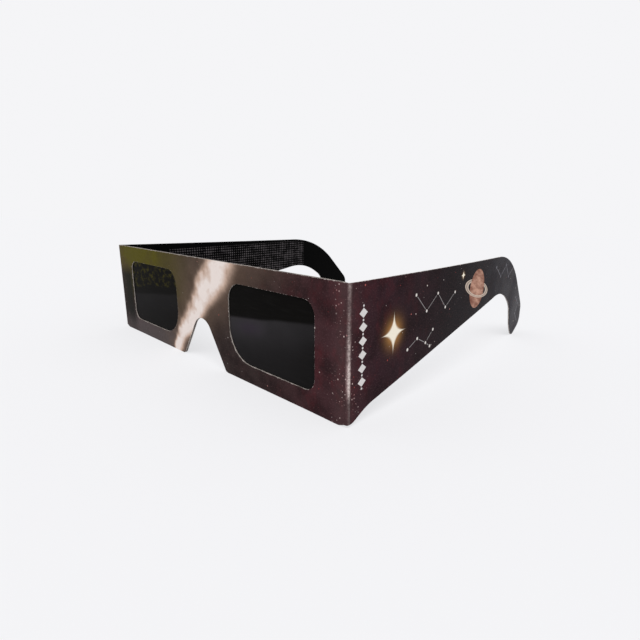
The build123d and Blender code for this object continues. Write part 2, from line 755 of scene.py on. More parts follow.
@dataclass(frozen=True)
class Board:
    """A sheet of the glasses as a mesh, with its cut edges, its slight set and its finishes."""

    sheet: Sheet
    outlines: Outlines
    cut: DieCut
    finishes: Finishes
    pitch: float
    relief: Relief
    seams: tuple[float, ...] = ()
    seam_tolerance: float = 0.01
    clearance_share: float = 0.5
    flat_turn: float = 0.02
    flat_weight: int = 80

    def is_seam(self, first: np.ndarray, second: np.ndarray) -> bool:
        """Whether a run of the outline is a seam, where the board carries on in another piece."""
        ends = (first[0], second[0])
        return any(max(abs(end - seam) for end in ends) < self.seam_tolerance for seam in self.seams)

    def insets(self, loop: Loop, inset: float, depth: float) -> Loop:
        """A loop moved into the material. Seams don't move.

        Args:
            loop: The loop, with the material on its left.
            inset: How far it moves, as a share of the cut's rounding.
            depth: How deep in the board the loop lies.

        Returns:
            The moved loop.
        """
        after = np.roll(loop, -1, 0)
        ways = (after - loop) / np.linalg.norm(after - loop, axis=1)[:, None]
        normals = np.stack([-ways[:, 1], ways[:, 0]], 1)
        moves = np.array([0.0 if self.is_seam(a, b) else self.cut.rounding for a, b in zip(loop, after)])
        shares = self.cut.shares(loop, inset, depth)
        moved = []
        for index, point in enumerate(loop):
            n0, n1 = normals[index - 1], normals[index]
            r0, r1 = moves[index - 1] * shares[index], moves[index] * shares[index]
            cross = n0[0] * n1[1] - n0[1] * n1[0]
            if abs(cross) < self.flat_turn:
                moved.append(point + (n0 + n1) / 2 * (r0 + r1) / 2)
            else:
                shift = np.array([r0 * n1[1] - r1 * n0[1], r1 * n0[0] - r0 * n1[0]]) / cross
                moved.append(point + shift)
        return np.array(moved)

    def lattice(self, loops: list[Loop]) -> np.ndarray:
        """Points spread evenly over the sheet, clear of its outlines.

        Args:
            loops: The outline and its holes.

        Returns:
            The points as rows.
        """
        low, high = loops[0].min(0), loops[0].max(0)
        row_height = self.pitch * math.sqrt(3) / 2
        rows = math.ceil((high[1] - low[1]) / row_height) + 1
        columns = math.ceil((high[0] - low[0]) / self.pitch) + 1
        found = []
        for row in range(rows):
            shift = self.pitch / 2 * (row % 2)
            for column in range(columns):
                found.append((low[0] + shift + column * self.pitch, low[1] + row * row_height))
        found = np.array(found)
        found = found[inside(found, loops)]
        ends = np.concatenate([np.roll(loop, -1, 0) for loop in loops])
        return found[distance_to(found, np.concatenate(loops), ends) > self.pitch * self.clearance_share]

    def net(self, loops: list[Loop]) -> tuple[np.ndarray, list[tuple[int, int, int]], list[list[int]]]:
        """A net of triangles over the sheet, which keeps its outlines.

        Args:
            loops: The outline and its holes.

        Returns:
            The points, the triangles, and for each loop the indices of its points.
        """
        points = np.concatenate([*loops, self.lattice(loops)])
        runs, first = [], 0
        for loop in loops:
            count = len(loop)
            runs += [(first + index, first + (index + 1) % count) for index in range(count)]
            first += count
        made = delaunay_2d_cdt([Vector(point) for point in points], runs, [], 0, TINY)
        found = np.array([tuple(point) for point in made[0]])
        where = {given: index for index, originals in enumerate(made[3]) for given in originals}
        triangles = [tuple(face) for face in made[2]]
        middles = found[np.array(triangles)].mean(1)
        kept = [triangle for triangle, keep in zip(triangles, inside(middles, loops)) if keep]
        faces = [self.anticlockwise(triangle, found) for triangle in kept]
        first, indices = 0, []
        for loop in loops:
            indices.append([where[first + index] for index in range(len(loop))])
            first += len(loop)
        return found, faces, indices

    @staticmethod
    def anticlockwise(triangle: tuple[int, int, int], points: np.ndarray) -> tuple[int, int, int]:
        """A triangle's corners in anticlockwise order."""
        return triangle if signed_area(points[list(triangle)]) > 0 else triangle[::-1]

    def build(self, name: str) -> bpy.types.Object:
        """Makes the sheet's mesh.

        Args:
            name: The piece's name.

        Returns:
            The piece, at rest in the model's frame.
        """
        loops = self.outlines.finer(self.pitch)
        thickness = self.sheet.thickness
        points, triangles, indices = self.net([self.insets(loop, 1.0, 0.0) for loop in loops])
        count = len(points)
        blank = [(*point, 0.0) for point in points] + [(*point, thickness) for point in points]
        faces = [(triangle, Skin.OUTER) for triangle in triangles]
        faces += [(tuple(count + corner for corner in triangle[::-1]), Skin.INNER) for triangle in triangles]
        for loop, net_indices in zip(loops, indices):
            rings = [net_indices]
            for inset, depth in self.cut.profile(thickness)[1:-1]:
                rings.append(list(range(len(blank), len(blank) + len(loop))))
                blank += [(*point, depth) for point in self.insets(loop, inset, depth)]
            rings.append([count + index for index in net_indices])
            faces += self.ring_faces(rings)
        return self.to_object(name, blank, faces)

    def ring_faces(self, rings: list[list[int]]) -> list[tuple[tuple[int, ...], Skin]]:
        """The faces of the cut edge.

        Args:
            rings: The points of each ring, from the outer face to the inner one.

        Returns:
            Each face's corners and its skin. The rounding belongs to the face that it rounds off.
        """
        skins = [Skin.OUTER] * self.cut.steps + [Skin.EDGE] + [Skin.INNER] * self.cut.steps
        found = []
        for near, far, skin in zip(rings, rings[1:], skins):
            for index in range(len(near)):
                after = (index + 1) % len(near)
                found.append(((near[index], far[index], far[after], near[after]), skin))
        return found

    def to_object(
        self, name: str, blank: list[tuple[float, float, float]], faces: list[tuple[tuple[int, ...], Skin]]
    ) -> bpy.types.Object:
        """Turns places on the blank and faces into a Blender object.

        Args:
            name: The piece's name.
            blank: Places on the blank.
            faces: Each face's corners and its skin.

        Returns:
            The object, with the blank's places and the distance to the cut edge kept on its points.
        """
        places = [self.sheet.roll(u, v, depth + self.relief(u, v, depth)) for u, v, depth in blank]
        mesh = bpy.data.meshes.new(name)
        mesh.from_pydata(places, [], [corners for corners, skin in faces])
        for material in (self.finishes.outer, self.finishes.edge, self.finishes.inner):
            mesh.materials.append(material)
        mesh.polygons.foreach_set("material_index", [skin.value for corners, skin in faces])
        mesh.polygons.foreach_set("use_smooth", [True] * len(faces))
        kept = mesh.attributes.new(BLANK, "FLOAT_VECTOR", "POINT")
        kept.data.foreach_set("vector", np.array(blank, np.float32).ravel())
        rim = mesh.attributes.new(RIM, "FLOAT", "POINT")
        rim.data.foreach_set("value", self.rim_distances(blank).astype(np.float32))
        mesh.update()
        piece = bpy.data.objects.new(name, mesh)
        bpy.context.scene.collection.objects.link(piece)
        shading = piece.modifiers.new("flat_faces_lead", "WEIGHTED_NORMAL")
        shading.mode = "FACE_AREA"
        shading.weight = self.flat_weight
        return piece

    def rim_distances(self, blank: list[tuple[float, float, float]]) -> np.ndarray:
        """How far places on the blank lie from the nearest cut edge.

        Args:
            blank: The places.

        Returns:
            One distance for each place.
        """
        starts, ends = [], []
        for loop in self.outlines.finer(self.pitch):
            for first, second in zip(loop, np.roll(loop, -1, 0)):
                if not self.is_seam(first, second):
                    starts.append(first)
                    ends.append(second)
        return distance_to(np.array(blank)[:, :2], np.array(starts), np.array(ends))


@dataclass(frozen=True)
class Signal:
    """What one output of a material's node carries, with the usual sums."""

    graph: "Graph"
    socket: bpy.types.NodeSocket

    def __add__(self, other: "Feed") -> "Signal":
        """This plus another."""
        return self.graph.compute("ADD", self, other)

    def __sub__(self, other: "Feed") -> "Signal":
        """This less another."""
        return self.graph.compute("SUBTRACT", self, other)

    def __rsub__(self, other: "Feed") -> "Signal":
        """Another less this."""
        return self.graph.compute("SUBTRACT", other, self)

    def __mul__(self, other: "Feed") -> "Signal":
        """This times another."""
        return self.graph.compute("MULTIPLY", self, other)

    def __truediv__(self, other: "Feed") -> "Signal":
        """This divided by another."""
        return self.graph.compute("DIVIDE", self, other)

    def __abs__(self) -> "Signal":
        """This without its sign."""
        return self.graph.compute("ABSOLUTE", self)

    def power(self, exponent: float) -> "Signal":
        """This raised to a power."""
        return self.graph.compute("POWER", self, exponent)

    def root(self) -> "Signal":
        """The square root of this."""
        return self.graph.compute("SQRT", self)

    def fraction(self) -> "Signal":
        """This less its whole part."""
        return self.graph.compute("FRACT", self)

    def largest(self, other: "Feed") -> "Signal":
        """The larger of this and another."""
        return self.graph.compute("MAXIMUM", self, other)

    def least(self, other: "Feed") -> "Signal":
        """The smaller of this and another."""
        return self.graph.compute("MINIMUM", self, other)

    def bell(self, width: "Feed") -> "Signal":
        """A bell curve over this, 1 at 0 and about a third at the width."""
        share = self / width
        return self.graph.compute("EXPONENT", (share * share) * -1.0)

    def step(self, low: float, high: float) -> "Signal":
        """A smooth step over this.

        Args:
            low: Where it is 0.
            high: Where it is 1, which may be the lower of the two.

        Returns:
            The step.
        """
        if low < high:
            return self.graph.smooth_step(self, low, high)
        return 1.0 - self.graph.smooth_step(self, high, low)


Feed = float | Sequence[float] | Signal


class Graph:
    """The nodes of one material or world, made by short calls."""

    def __init__(self, owner: bpy.types.Material | bpy.types.World) -> None:
        """Clears the nodes of a material or world, ready for new ones.

        Args:
            owner: The material or world.
        """
        owner.use_nodes = True
        self.owner = owner
        self.tree = owner.node_tree
        self.tree.nodes.clear()

    @classmethod
    def of_material(cls, name: str) -> "Graph":
        """The nodes of a new material, which gets the name."""
        return cls(bpy.data.materials.new(name))

    def add(self, kind: str, feeds: dict[str | int, Feed], **settings: object) -> bpy.types.Node:
        """Adds one node.

        Args:
            kind: The node's type, without what all of them start with.
            feeds: What goes into each input, by its name or place.
            settings: The node's own settings.

        Returns:
            The node.
        """
        node = self.tree.nodes.new(f"ShaderNode{kind}")
        for setting, value in settings.items():
            setattr(node, setting, value)
        for key, value in feeds.items():
            if isinstance(value, Signal):
                self.tree.links.new(value.socket, node.inputs[key])
            else:
                node.inputs[key].default_value = value
        return node

    def signal(self, node: bpy.types.Node, output: str | int = 0) -> Signal:
        """One output of a node."""
        return Signal(self, node.outputs[output])

    def compute(self, operation: str, *values: Feed) -> Signal:
        """One sum of numbers."""
        return self.signal(self.add("Math", dict(enumerate(values)), operation=operation))

    def smooth_step(self, value: Feed, low: float, high: float) -> Signal:
        """A smooth step from 0 at low to 1 at high.

        Args:
            value: What the step is read over.
            low: Where it is 0.
            high: Where it is 1.

        Returns:
            The step.
        """
        feeds = {"Value": value, "From Min": low, "From Max": high}
        return self.signal(self.add("MapRange", feeds, interpolation_type="SMOOTHSTEP"))

    def mix(self, share: Feed, low: Feed, high: Feed) -> Signal:
        """A colour between two others.

        Args:
            share: 0 for the first colour and 1 for the second.
            low: The first colour.
            high: The second colour.

        Returns:
            The colour.
        """
        node = self.tree.nodes.new("ShaderNodeMix")
        node.data_type = "RGBA"
        sockets = {"Factor_Float": share, "A_Color": low, "B_Color": high}
        for socket in node.inputs:
            if socket.identifier in sockets:
                value = sockets[socket.identifier]
                if isinstance(value, Signal):
                    self.tree.links.new(value.socket, socket)
                else:
                    socket.default_value = value
        return Signal(self, next(out for out in node.outputs if out.identifier == "Result_Color"))

    def ramp(self, value: Feed, stops: Sequence[tuple[float, Colour]]) -> Signal:
        """A row of colours.

        Args:
            value: Where along the row.
            stops: Each colour and its place, from 0 to 1.

        Returns:
            The colour there.
        """
        node = self.add("ValToRGB", {0: value})
        elements = node.color_ramp.elements
        while len(elements) < len(stops):
            elements.new(0.5)
        for element, (place, colour) in zip(elements, stops):
            element.position = place
            element.color = colour
        return self.signal(node)

    def blank(self) -> tuple[Signal, Signal, Signal]:
        """The place on the blank.

        Returns:
            Its u, v and depth.
        """
        kept = self.add("Attribute", {}, attribute_name=BLANK)
        parts = self.add("SeparateXYZ", {0: self.signal(kept, "Vector")})
        return self.signal(parts, 0), self.signal(parts, 1), self.signal(parts, 2)

    def rim(self) -> Signal:
        """The distance to the nearest cut edge."""
        return self.signal(self.add("Attribute", {}, attribute_name=RIM), "Fac")

    def point(self, x: Feed, y: Feed, z: Feed = 0.0) -> Signal:
        """A vector from its three parts."""
        return self.signal(self.add("CombineXYZ", {0: x, 1: y, 2: z}))

    def specks(self, place: Feed, spacing: float) -> tuple[Signal, Signal]:
        """Scattered points.

        Args:
            place: Where they are read.
            spacing: Rough distance between two of them.

        Returns:
            The distance to the nearest point in its own spacing, and a random colour for each.
        """
        feeds = {"Vector": place, "Scale": 1 / spacing, "Randomness": 1.0}
        node = self.add("TexVoronoi", feeds, voronoi_dimensions="2D", feature="F1")
        return self.signal(node, "Distance") * spacing, self.signal(node, "Color")

    def parts(self, colour: Signal) -> tuple[Signal, Signal, Signal]:
        """The three channels of a colour."""
        node = self.add("SeparateColor", {0: colour})
        return self.signal(node, 0), self.signal(node, 1), self.signal(node, 2)

    def bump(self, height: Signal, distance: float) -> Signal:
        """A normal from a height, of which 1 stands up by the distance in metres."""
        return self.signal(self.add("Bump", {"Height": height, "Distance": distance}))

    def surface(self, feeds: dict[str | int, Feed]) -> bpy.types.Material:
        """Ends the material with the usual shader.

        Args:
            feeds: What goes into the shader's inputs.

        Returns:
            The finished material.
        """
        shader = self.add("BsdfPrincipled", feeds)
        self.add("OutputMaterial", {"Surface": self.signal(shader)})
        return self.owner


@dataclass(frozen=True)
class Grain:
    """Soft noise: its wave, its finer layers, their strength and the levels that its patches run between."""

    wave: float
    detail: float = 2.0
    roughness: float = 0.5
    levels: tuple[float, float] = (0.0, 1.0)

    def noise(self, graph: Graph, place: Feed) -> Signal:
        """The noise at a place, from 0 to 1."""
        feeds = {"Vector": place, "Scale": 1 / self.wave, "Detail": self.detail, "Roughness": self.roughness}
        return graph.signal(graph.add("TexNoise", feeds, noise_dimensions="3D"), "Fac")

    def patches(self, graph: Graph, place: Feed) -> Signal:
        """The patches at a place, from 0 at the first level of the noise to 1 at the second."""
        return self.noise(graph, place).step(*self.levels)


@dataclass(frozen=True)
class Gloss:
    """A clear gloss coat: how much it shines, its smudges and its slight orange peel."""

    shine: float
    clean: float
    smudged: float
    smudges: Grain = Grain(16.0, 4.0, 0.6, (0.35, 0.7))
    peel: Grain = Grain(1.1)
    peel_height: float = 0.0000035

    def feeds(self, graph: Graph, place: Signal) -> dict[str | int, Feed]:
        """What the coat gives the shader.

        Args:
            graph: The material.
            place: Where its patterns are read.

        Returns:
            The shader's inputs that the coat sets.
        """
        smudge = self.smudges.patches(graph, place)
        return {
            "Roughness": smudge * (self.smudged - self.clean) + self.clean,
            "Specular IOR Level": self.shine,
            "Normal": graph.bump(self.peel.noise(graph, place), self.peel_height),
        }


@dataclass(frozen=True)
class Nap:
    """A dull surface with a fine nap: its roughness and what the nap adds, its shine and the nap's height."""

    roughness: float
    share: float
    shine: float
    height: float

    def feeds(self, graph: Graph, nap: Signal) -> dict[str | int, Feed]:
        """What the surface gives the shader.

        Args:
            graph: The material.
            nap: The nap's noise.

        Returns:
            The shader's inputs that the surface sets.
        """
        return {
            "Roughness": nap * self.share + self.roughness,
            "Specular IOR Level": self.shine,
            "Normal": graph.bump(nap, self.height),
        }


@dataclass(frozen=True)
class Stars:
    """A field of small stars, each of its own size and tint."""

    spacing: float
    smallest: float
    largest: float
    thinning: float
    white: Colour = ink(236, 226, 220)
    red: Colour = ink(176, 74, 70)
    red_levels: tuple[float, float] = (0.45, 0.75)
    rarity: float = 3.0
    rim: tuple[float, float] = (1.0, 0.4)
    thinning_run: float = 0.05
    dimmest: float = 0.4

    def over(self, graph: Graph, place: Signal, ground: Signal) -> Signal:
        """The stars over what lies behind them. The larger a star, the rarer and brighter it is.

        Args:
            graph: The material.
            place: Where they are read.
            ground: The colour behind them.

        Returns:
            The colour with the stars.
        """
        distance, random = graph.specks(place, self.spacing)
        size, tint, pick = graph.parts(random)
        radius = size.power(self.rarity) * (self.largest - self.smallest) + self.smallest
        picked = pick.step(self.thinning, self.thinning + self.thinning_run)
        brightness = size * (1.0 - self.dimmest) + self.dimmest
        shown = (distance / radius).step(*self.rim) * picked * brightness
        return graph.mix(shown, ground, graph.mix(tint.step(*self.red_levels), self.white, self.red))


@dataclass(frozen=True)
class Spot:
    """A place on a temple's print: how far behind the crease, and how high."""

    behind: float
    height: float

    @classmethod
    def row(cls, places: Sequence[tuple[float, float]]) -> tuple["Spot", ...]:
        """Spots from their distances behind the crease and their heights."""
        return tuple(cls(*place) for place in places)


class Motif:
    """One figure printed on the temples."""

    def over(self, graph: Graph, s: Signal, v: Signal, ground: Signal) -> Signal:
        """The figure over what lies behind it.

        Args:
            graph: The material.
            s: Distance behind the crease.
            v: Place up the blank.
            ground: The colour behind the figure.

        Returns:
            The colour with the figure.
        """
        raise NotImplementedError


@dataclass(frozen=True)
class Sparkle(Motif):
    """A four-pointed star with a soft glow round it."""

    spot: Spot
    reach: float
    glow: float
    glow_strength: float
    rim: tuple[float, float] = (1.08, 0.86)
    light: Colour = ink(255, 246, 226)
    halo: Colour = ink(206, 150, 84)

    def over(self, graph: Graph, s: Signal, v: Signal, ground: Signal) -> Signal:
        """The star over what lies behind it.

        Args:
            graph: The material.
            s: Distance behind the crease.
            v: Place up the blank.
            ground: The colour behind the star.

        Returns:
            The colour with the star.
        """
        x, y = abs(s - self.spot.behind), abs(v - self.spot.height)
        points = (x / self.reach).root() + (y / self.reach).root()
        radius = (x * x + y * y).root()
        halo = radius.bell(self.glow) * self.glow_strength
        return graph.mix(points.step(*self.rim), graph.mix(halo, ground, self.halo), self.light)


@dataclass(frozen=True)
class Constellation(Motif):
    """Small stars joined by hairlines, which stop short of them."""

    spots: tuple[Spot, ...]
    hairline: float = 0.16
    hairline_rim_share: float = 0.5
    dot: float = 0.6
    dot_rim_share: float = 0.6
    gap_shares: tuple[float, float] = (1.5, 2.0)
    line_colour: Colour = ink(150, 146, 146)
    dot_colour: Colour = ink(232, 226, 220)

    def over(self, graph: Graph, s: Signal, v: Signal, ground: Signal) -> Signal:
        """The stars and their lines over what lies behind them.

        Args:
            graph: The material.
            s: Distance behind the crease.
            v: Place up the blank.
            ground: The colour behind the figure.

        Returns:
            The colour with the figure.
        """
        lines, dots = None, None
        for spot in self.spots:
            x, y = s - spot.behind, v - spot.height
            distance = (x * x + y * y).root()
            dots = distance if dots is None else dots.least(distance)
        for first, second in zip(self.spots, self.spots[1:]):
            run = Vector((second.behind - first.behind, second.height - first.height))
            x, y = s - first.behind, v - first.height
            along = ((x * run.x + y * run.y) / run.length_squared).largest(0.0).least(1.0)
            dx, dy = x - along * run.x, y - along * run.y
            distance = (dx * dx + dy * dy).root()
            lines = distance if lines is None else lines.least(distance)
        near, far = self.gap_shares
        gaps = dots.step(self.dot * near, self.dot * far)
        drawn = lines.step(self.hairline, self.hairline * self.hairline_rim_share) * gaps
        lined = graph.mix(drawn, ground, self.line_colour)
        return graph.mix(dots.step(self.dot, self.dot * self.dot_rim_share), lined, self.dot_colour)


@dataclass(frozen=True)
class RingedPlanet(Motif):
    """A planet with cloud bands and a tilted ring."""

    spot: Spot
    radius: float
    ring_inner: float
    ring_outer: float
    rim: float = 0.12
    bands: Grain = Grain(2.2, 5.0, 0.65, (0.36, 0.64))
    band_squeeze: float = 0.3
    limb: tuple[float, float] = (1.05, 0.35)
    limb_share: float = 0.3
    tilt: float = math.radians(-13)
    squash: float = 0.27
    ring_rim: float = 0.3
    split_width: float = 0.35
    split_share: float = 0.8
    crossing: float = 0.05
    dark: Colour = ink(124, 76, 60)
    light: Colour = ink(208, 162, 140)
    ring: Colour = ink(206, 188, 172)

    def over(self, graph: Graph, s: Signal, v: Signal, ground: Signal) -> Signal:
        """The planet and its ring over what lies behind them.

        Args:
            graph: The material.
            s: Distance behind the crease.
            v: Place up the blank.
            ground: The colour behind the planet.

        Returns:
            The colour with the planet.
        """
        x, y = s - self.spot.behind, v - self.spot.height
        cosine, sine = math.cos(self.tilt), math.sin(self.tilt)
        along, across = x * cosine + y * sine, y * cosine - x * sine
        distance = (x * x + y * y).root()
        disc = distance.step(self.radius + self.rim, self.radius - self.rim)
        bands = self.bands.patches(graph, graph.point(along * self.band_squeeze, across))
        limb = (distance / self.radius).step(*self.limb)
        shade = bands * (1.0 - self.limb_share) + limb * self.limb_share
        globe = graph.mix(disc, ground, graph.mix(shade, self.dark, self.light))
        flat = across / self.squash
        round_ring = (along * along + flat * flat).root()
        band = round_ring.step(self.ring_inner - self.ring_rim, self.ring_inner)
        band = band * round_ring.step(self.ring_outer, self.ring_outer - self.ring_rim)
        middle = (self.ring_inner + self.ring_outer) / 2
        split = 1.0 - (round_ring - middle).bell(self.split_width) * self.split_share
        before = across.step(self.crossing, -self.crossing)
        shown = band * split * (1.0 - disc * (1.0 - before))
        return graph.mix(shown, globe, self.ring)


@dataclass(frozen=True)
class Braid(Motif):
    """An upright row of diamonds and dots, which stands beside the crease and ends in a dot both ways."""

    behind: float
    low: float
    pitch: float
    count: int
    diamond: float
    dot: float
    diamond_squash: float = 1.3
    diamond_rim: float = 0.22
    dot_rim: float = 0.2
    end_shares: tuple[float, float] = (0.12, 0.08)
    join_share: float = 0.02
    white: Colour = ink(226, 222, 220)

    def over(self, graph: Graph, s: Signal, v: Signal, ground: Signal) -> Signal:
        """The row over what lies behind it.

        Args:
            graph: The material.
            s: Distance behind the crease.
            v: Place up the blank.
            ground: The colour behind the row.

        Returns:
            The colour with the row.
        """
        place = (v - self.low) / self.pitch
        from_middle = abs(place.fraction() - 0.5)
        x, y = abs(s - self.behind), from_middle * self.pitch
        diamonds = (x + y * self.diamond_squash).step(self.diamond, self.diamond - self.diamond_rim)
        between = (0.5 - from_middle) * self.pitch
        dots = (x * x + between * between).root().step(self.dot, self.dot - self.dot_rim)
        far, near = self.end_shares
        row = place.step(-far, -near) * place.step(self.count + far, self.count + near)
        inner = place.step(0.0, self.join_share) * place.step(float(self.count), self.count - self.join_share)
        return graph.mix((diamonds * inner).largest(dots) * row, ground, self.white)


@dataclass(frozen=True)
class StarCloud:
    """A pale band of star cloud in a haze, which crosses the front above the nose."""

    top_u: float
    foot_u: float
    height: float
    width: float
    spread: float
    wander: float
    sway: Grain = Grain(17.0, 3.0)
    grain: Grain = Grain(4.2, 4.0, 0.5)
    glow_share: float = 0.4
    glow_grain_share: float = 1.1
    haze_width: float = 2.6
    haze_share: float = 0.3
    haze_grain_share: float = 0.6
    rim: tuple[float, float] = (0.05, 0.62)
    stops: tuple[tuple[float, Colour], ...] = (
        (0.10, ink(112, 92, 78)),
        (0.50, ink(204, 176, 158)),
        (0.85, ink(240, 228, 221)),
    )

    def over(self, graph: Graph, u: Signal, v: Signal, ground: Signal) -> Signal:
        """The band over the sky behind it.

        Args:
            graph: The material.
            u: Place along the blank.
            v: Place up the blank.
            ground: The colour of the sky.

        Returns:
            The colour with the band.
        """
        place = graph.point(u, v)
        sway = (self.sway.noise(graph, place) - 0.5) * self.wander
        slope = (self.top_u - self.foot_u) / self.height
        across = (u - self.foot_u - v * slope + sway) * math.cos(math.atan(slope))
        out = across / (v * (self.spread / self.height) + self.width)
        grain = self.grain.noise(graph, place)
        haze = out.bell(self.haze_width) * (grain * self.haze_grain_share + self.haze_share)
        glow = out.bell(1.0) * (grain * self.glow_grain_share + self.glow_share)
        brown = self.stops[0][1]
        return graph.mix(glow.step(*self.rim), graph.mix(haze, ground, brown), graph.ramp(glow, self.stops))


@dataclass(frozen=True)
class Wash:
    """A painted reflection on the front: a wash of one colour that grows towards the right end of the front,
    and up or down it.
    """

    colour: Colour
    along: tuple[float, float]
    up: tuple[float, float]

    def over(self, graph: Graph, u: Signal, v: Signal, strength: Feed, ground: Signal) -> Signal:
        """The painted reflection, of a strength of its own, over what lies behind it."""
        cover = (u * -1.0).step(*self.along) * v.step(*self.up) * strength
        return graph.mix(cover, ground, self.colour)


@dataclass(frozen=True)
class Wear:
    """What handling does to the print: haze and scuffs beside the folds, a pale line along them and chips.
    The pale line is worn print and a painted highlight on the bend together.
    """

    fold_u: float
    height: float
    # core: the pale card in the chips, and also the colour of the fold line's painted highlight
    core: Colour = ink(240, 228, 222)
    # rubbed: the colour of the soft painted glow beside the fold line, partly rubbed print
    rubbed: Colour = ink(190, 160, 158)
    haze: Colour = ink(118, 92, 92)
    haze_width: float = 3.2
    haze_before: float = 1.6
    haze_share: float = 0.19
    right_share: float = 0.3
    side_change: tuple[float, float] = (-1.0, 1.0)
    scuffs: Stars = Stars(
        spacing=0.9,
        smallest=0.1,
        largest=0.3,
        thinning=0.6,
        white=ink(204, 182, 178),
        red=ink(156, 110, 110),
    )
    scuff_width: float = 4.8
    scuff_strength: float = 1.3
    scuff_grain: Grain = Grain(7.0, levels=(0.36, 0.54))
    chip_reach: tuple[float, float] = (0.16, 0.04)
    chip_grain: Grain = Grain(0.8, 4.0, 0.7, (0.5, 0.62))
    chip_share: float = 0.8
    # The fold line: worn print with a painted highlight, and a soft painted glow beside it
    line_drift: float = 0.5
    line_curve: float = 2.0
    line_width: float = 0.27
    line_share: float = 0.38
    line_fleck_share: float = 0.7
    side_width: float = 0.6
    side_share: float = 0.3
    side_fleck_share: float = 0.5
    flecks: Grain = Grain(0.6, 4.0, 0.65, (0.38, 0.62))
    fleck_squeeze: float = 1.5
    fleck_layer: float = 1.0
    # How strongly the fold line shows up the fold, worn print and painted highlight together: (place up the
    # fold, share)
    rubbing_shares: tuple[tuple[float, float], ...] = (
        (0.00, 0.10),
        (0.17, 0.12),
        (0.205, 0.24),
        (0.24, 0.76),
        (0.36, 1.00),
        (0.42, 0.72),
        (0.50, 0.42),
        (0.61, 0.42),
        (0.68, 0.18),
        (0.92, 0.13),
        (1.00, 0.28),
    )

    def handled(self, u: Signal) -> Signal:
        """How much each side of the glasses has been handled, which is less on the right."""
        return u.step(*self.side_change) * (1.0 - self.right_share) + self.right_share

    def beside(self, graph: Graph, u: Signal, v: Signal, ground: Signal) -> Signal:
        """The haze and scuffs beside the folds, and the chips along the cut edges.

        Args:
            graph: The material.
            u: Place along the blank.
            v: Place up the blank.
            ground: The print.

        Returns:
            The worn print.
        """
        place = graph.point(u, v)
        across = abs(u) - self.fold_u
        handled = self.handled(u)
        dulling = (across + self.haze_before).bell(self.haze_width) * self.haze_share * handled
        dulled = graph.mix(dulling, ground, self.haze)
        reach = (across.bell(self.scuff_width) * self.scuff_strength).least(1.0)
        scuffing = reach * self.scuff_grain.patches(graph, place) * handled
        scuffed = graph.mix(scuffing, dulled, self.scuffs.over(graph, place, dulled))
        chips = graph.rim().step(*self.chip_reach) * self.chip_grain.patches(graph, place)
        return graph.mix(chips * self.chip_share, scuffed, self.core)

    def line(self, graph: Graph, u: Signal, v: Signal, ground: Signal) -> Signal:
        """The fold's own pale line: where the print has cracked and rubbed off, and a painted highlight on
        the bend, with a soft painted glow beside it.

        Args:
            graph: The material.
            u: Place along the blank.
            v: Place up the blank.
            ground: The worn print beside it.

        Returns:
            The print with the line.
        """
        up = v / self.height
        across = abs(u) - self.fold_u - (1.0 - up).power(self.line_curve) * self.line_drift
        greys = [(place, (share, share, share, 1.0)) for place, share in self.rubbing_shares]
        rubbing = graph.ramp(up, greys) * self.handled(u)
        flecks = self.flecks.patches(graph, graph.point(u * self.fleck_squeeze, v, self.fleck_layer))
        # side is the soft painted glow beside the line; line is worn print and a painted highlight
        side = across.bell(self.side_width) * rubbing * (flecks * self.side_fleck_share + self.side_share)
        line = across.bell(self.line_width) * rubbing * (flecks * self.line_fleck_share + self.line_share)
        return graph.mix(line, graph.mix(side, ground, self.rubbed), self.core)


class Zone(Enum):
    """The parts of the printed blank."""

    FRONT = "front_print"
    TEMPLE = "temple_print"
    CREASE = "crease_card"


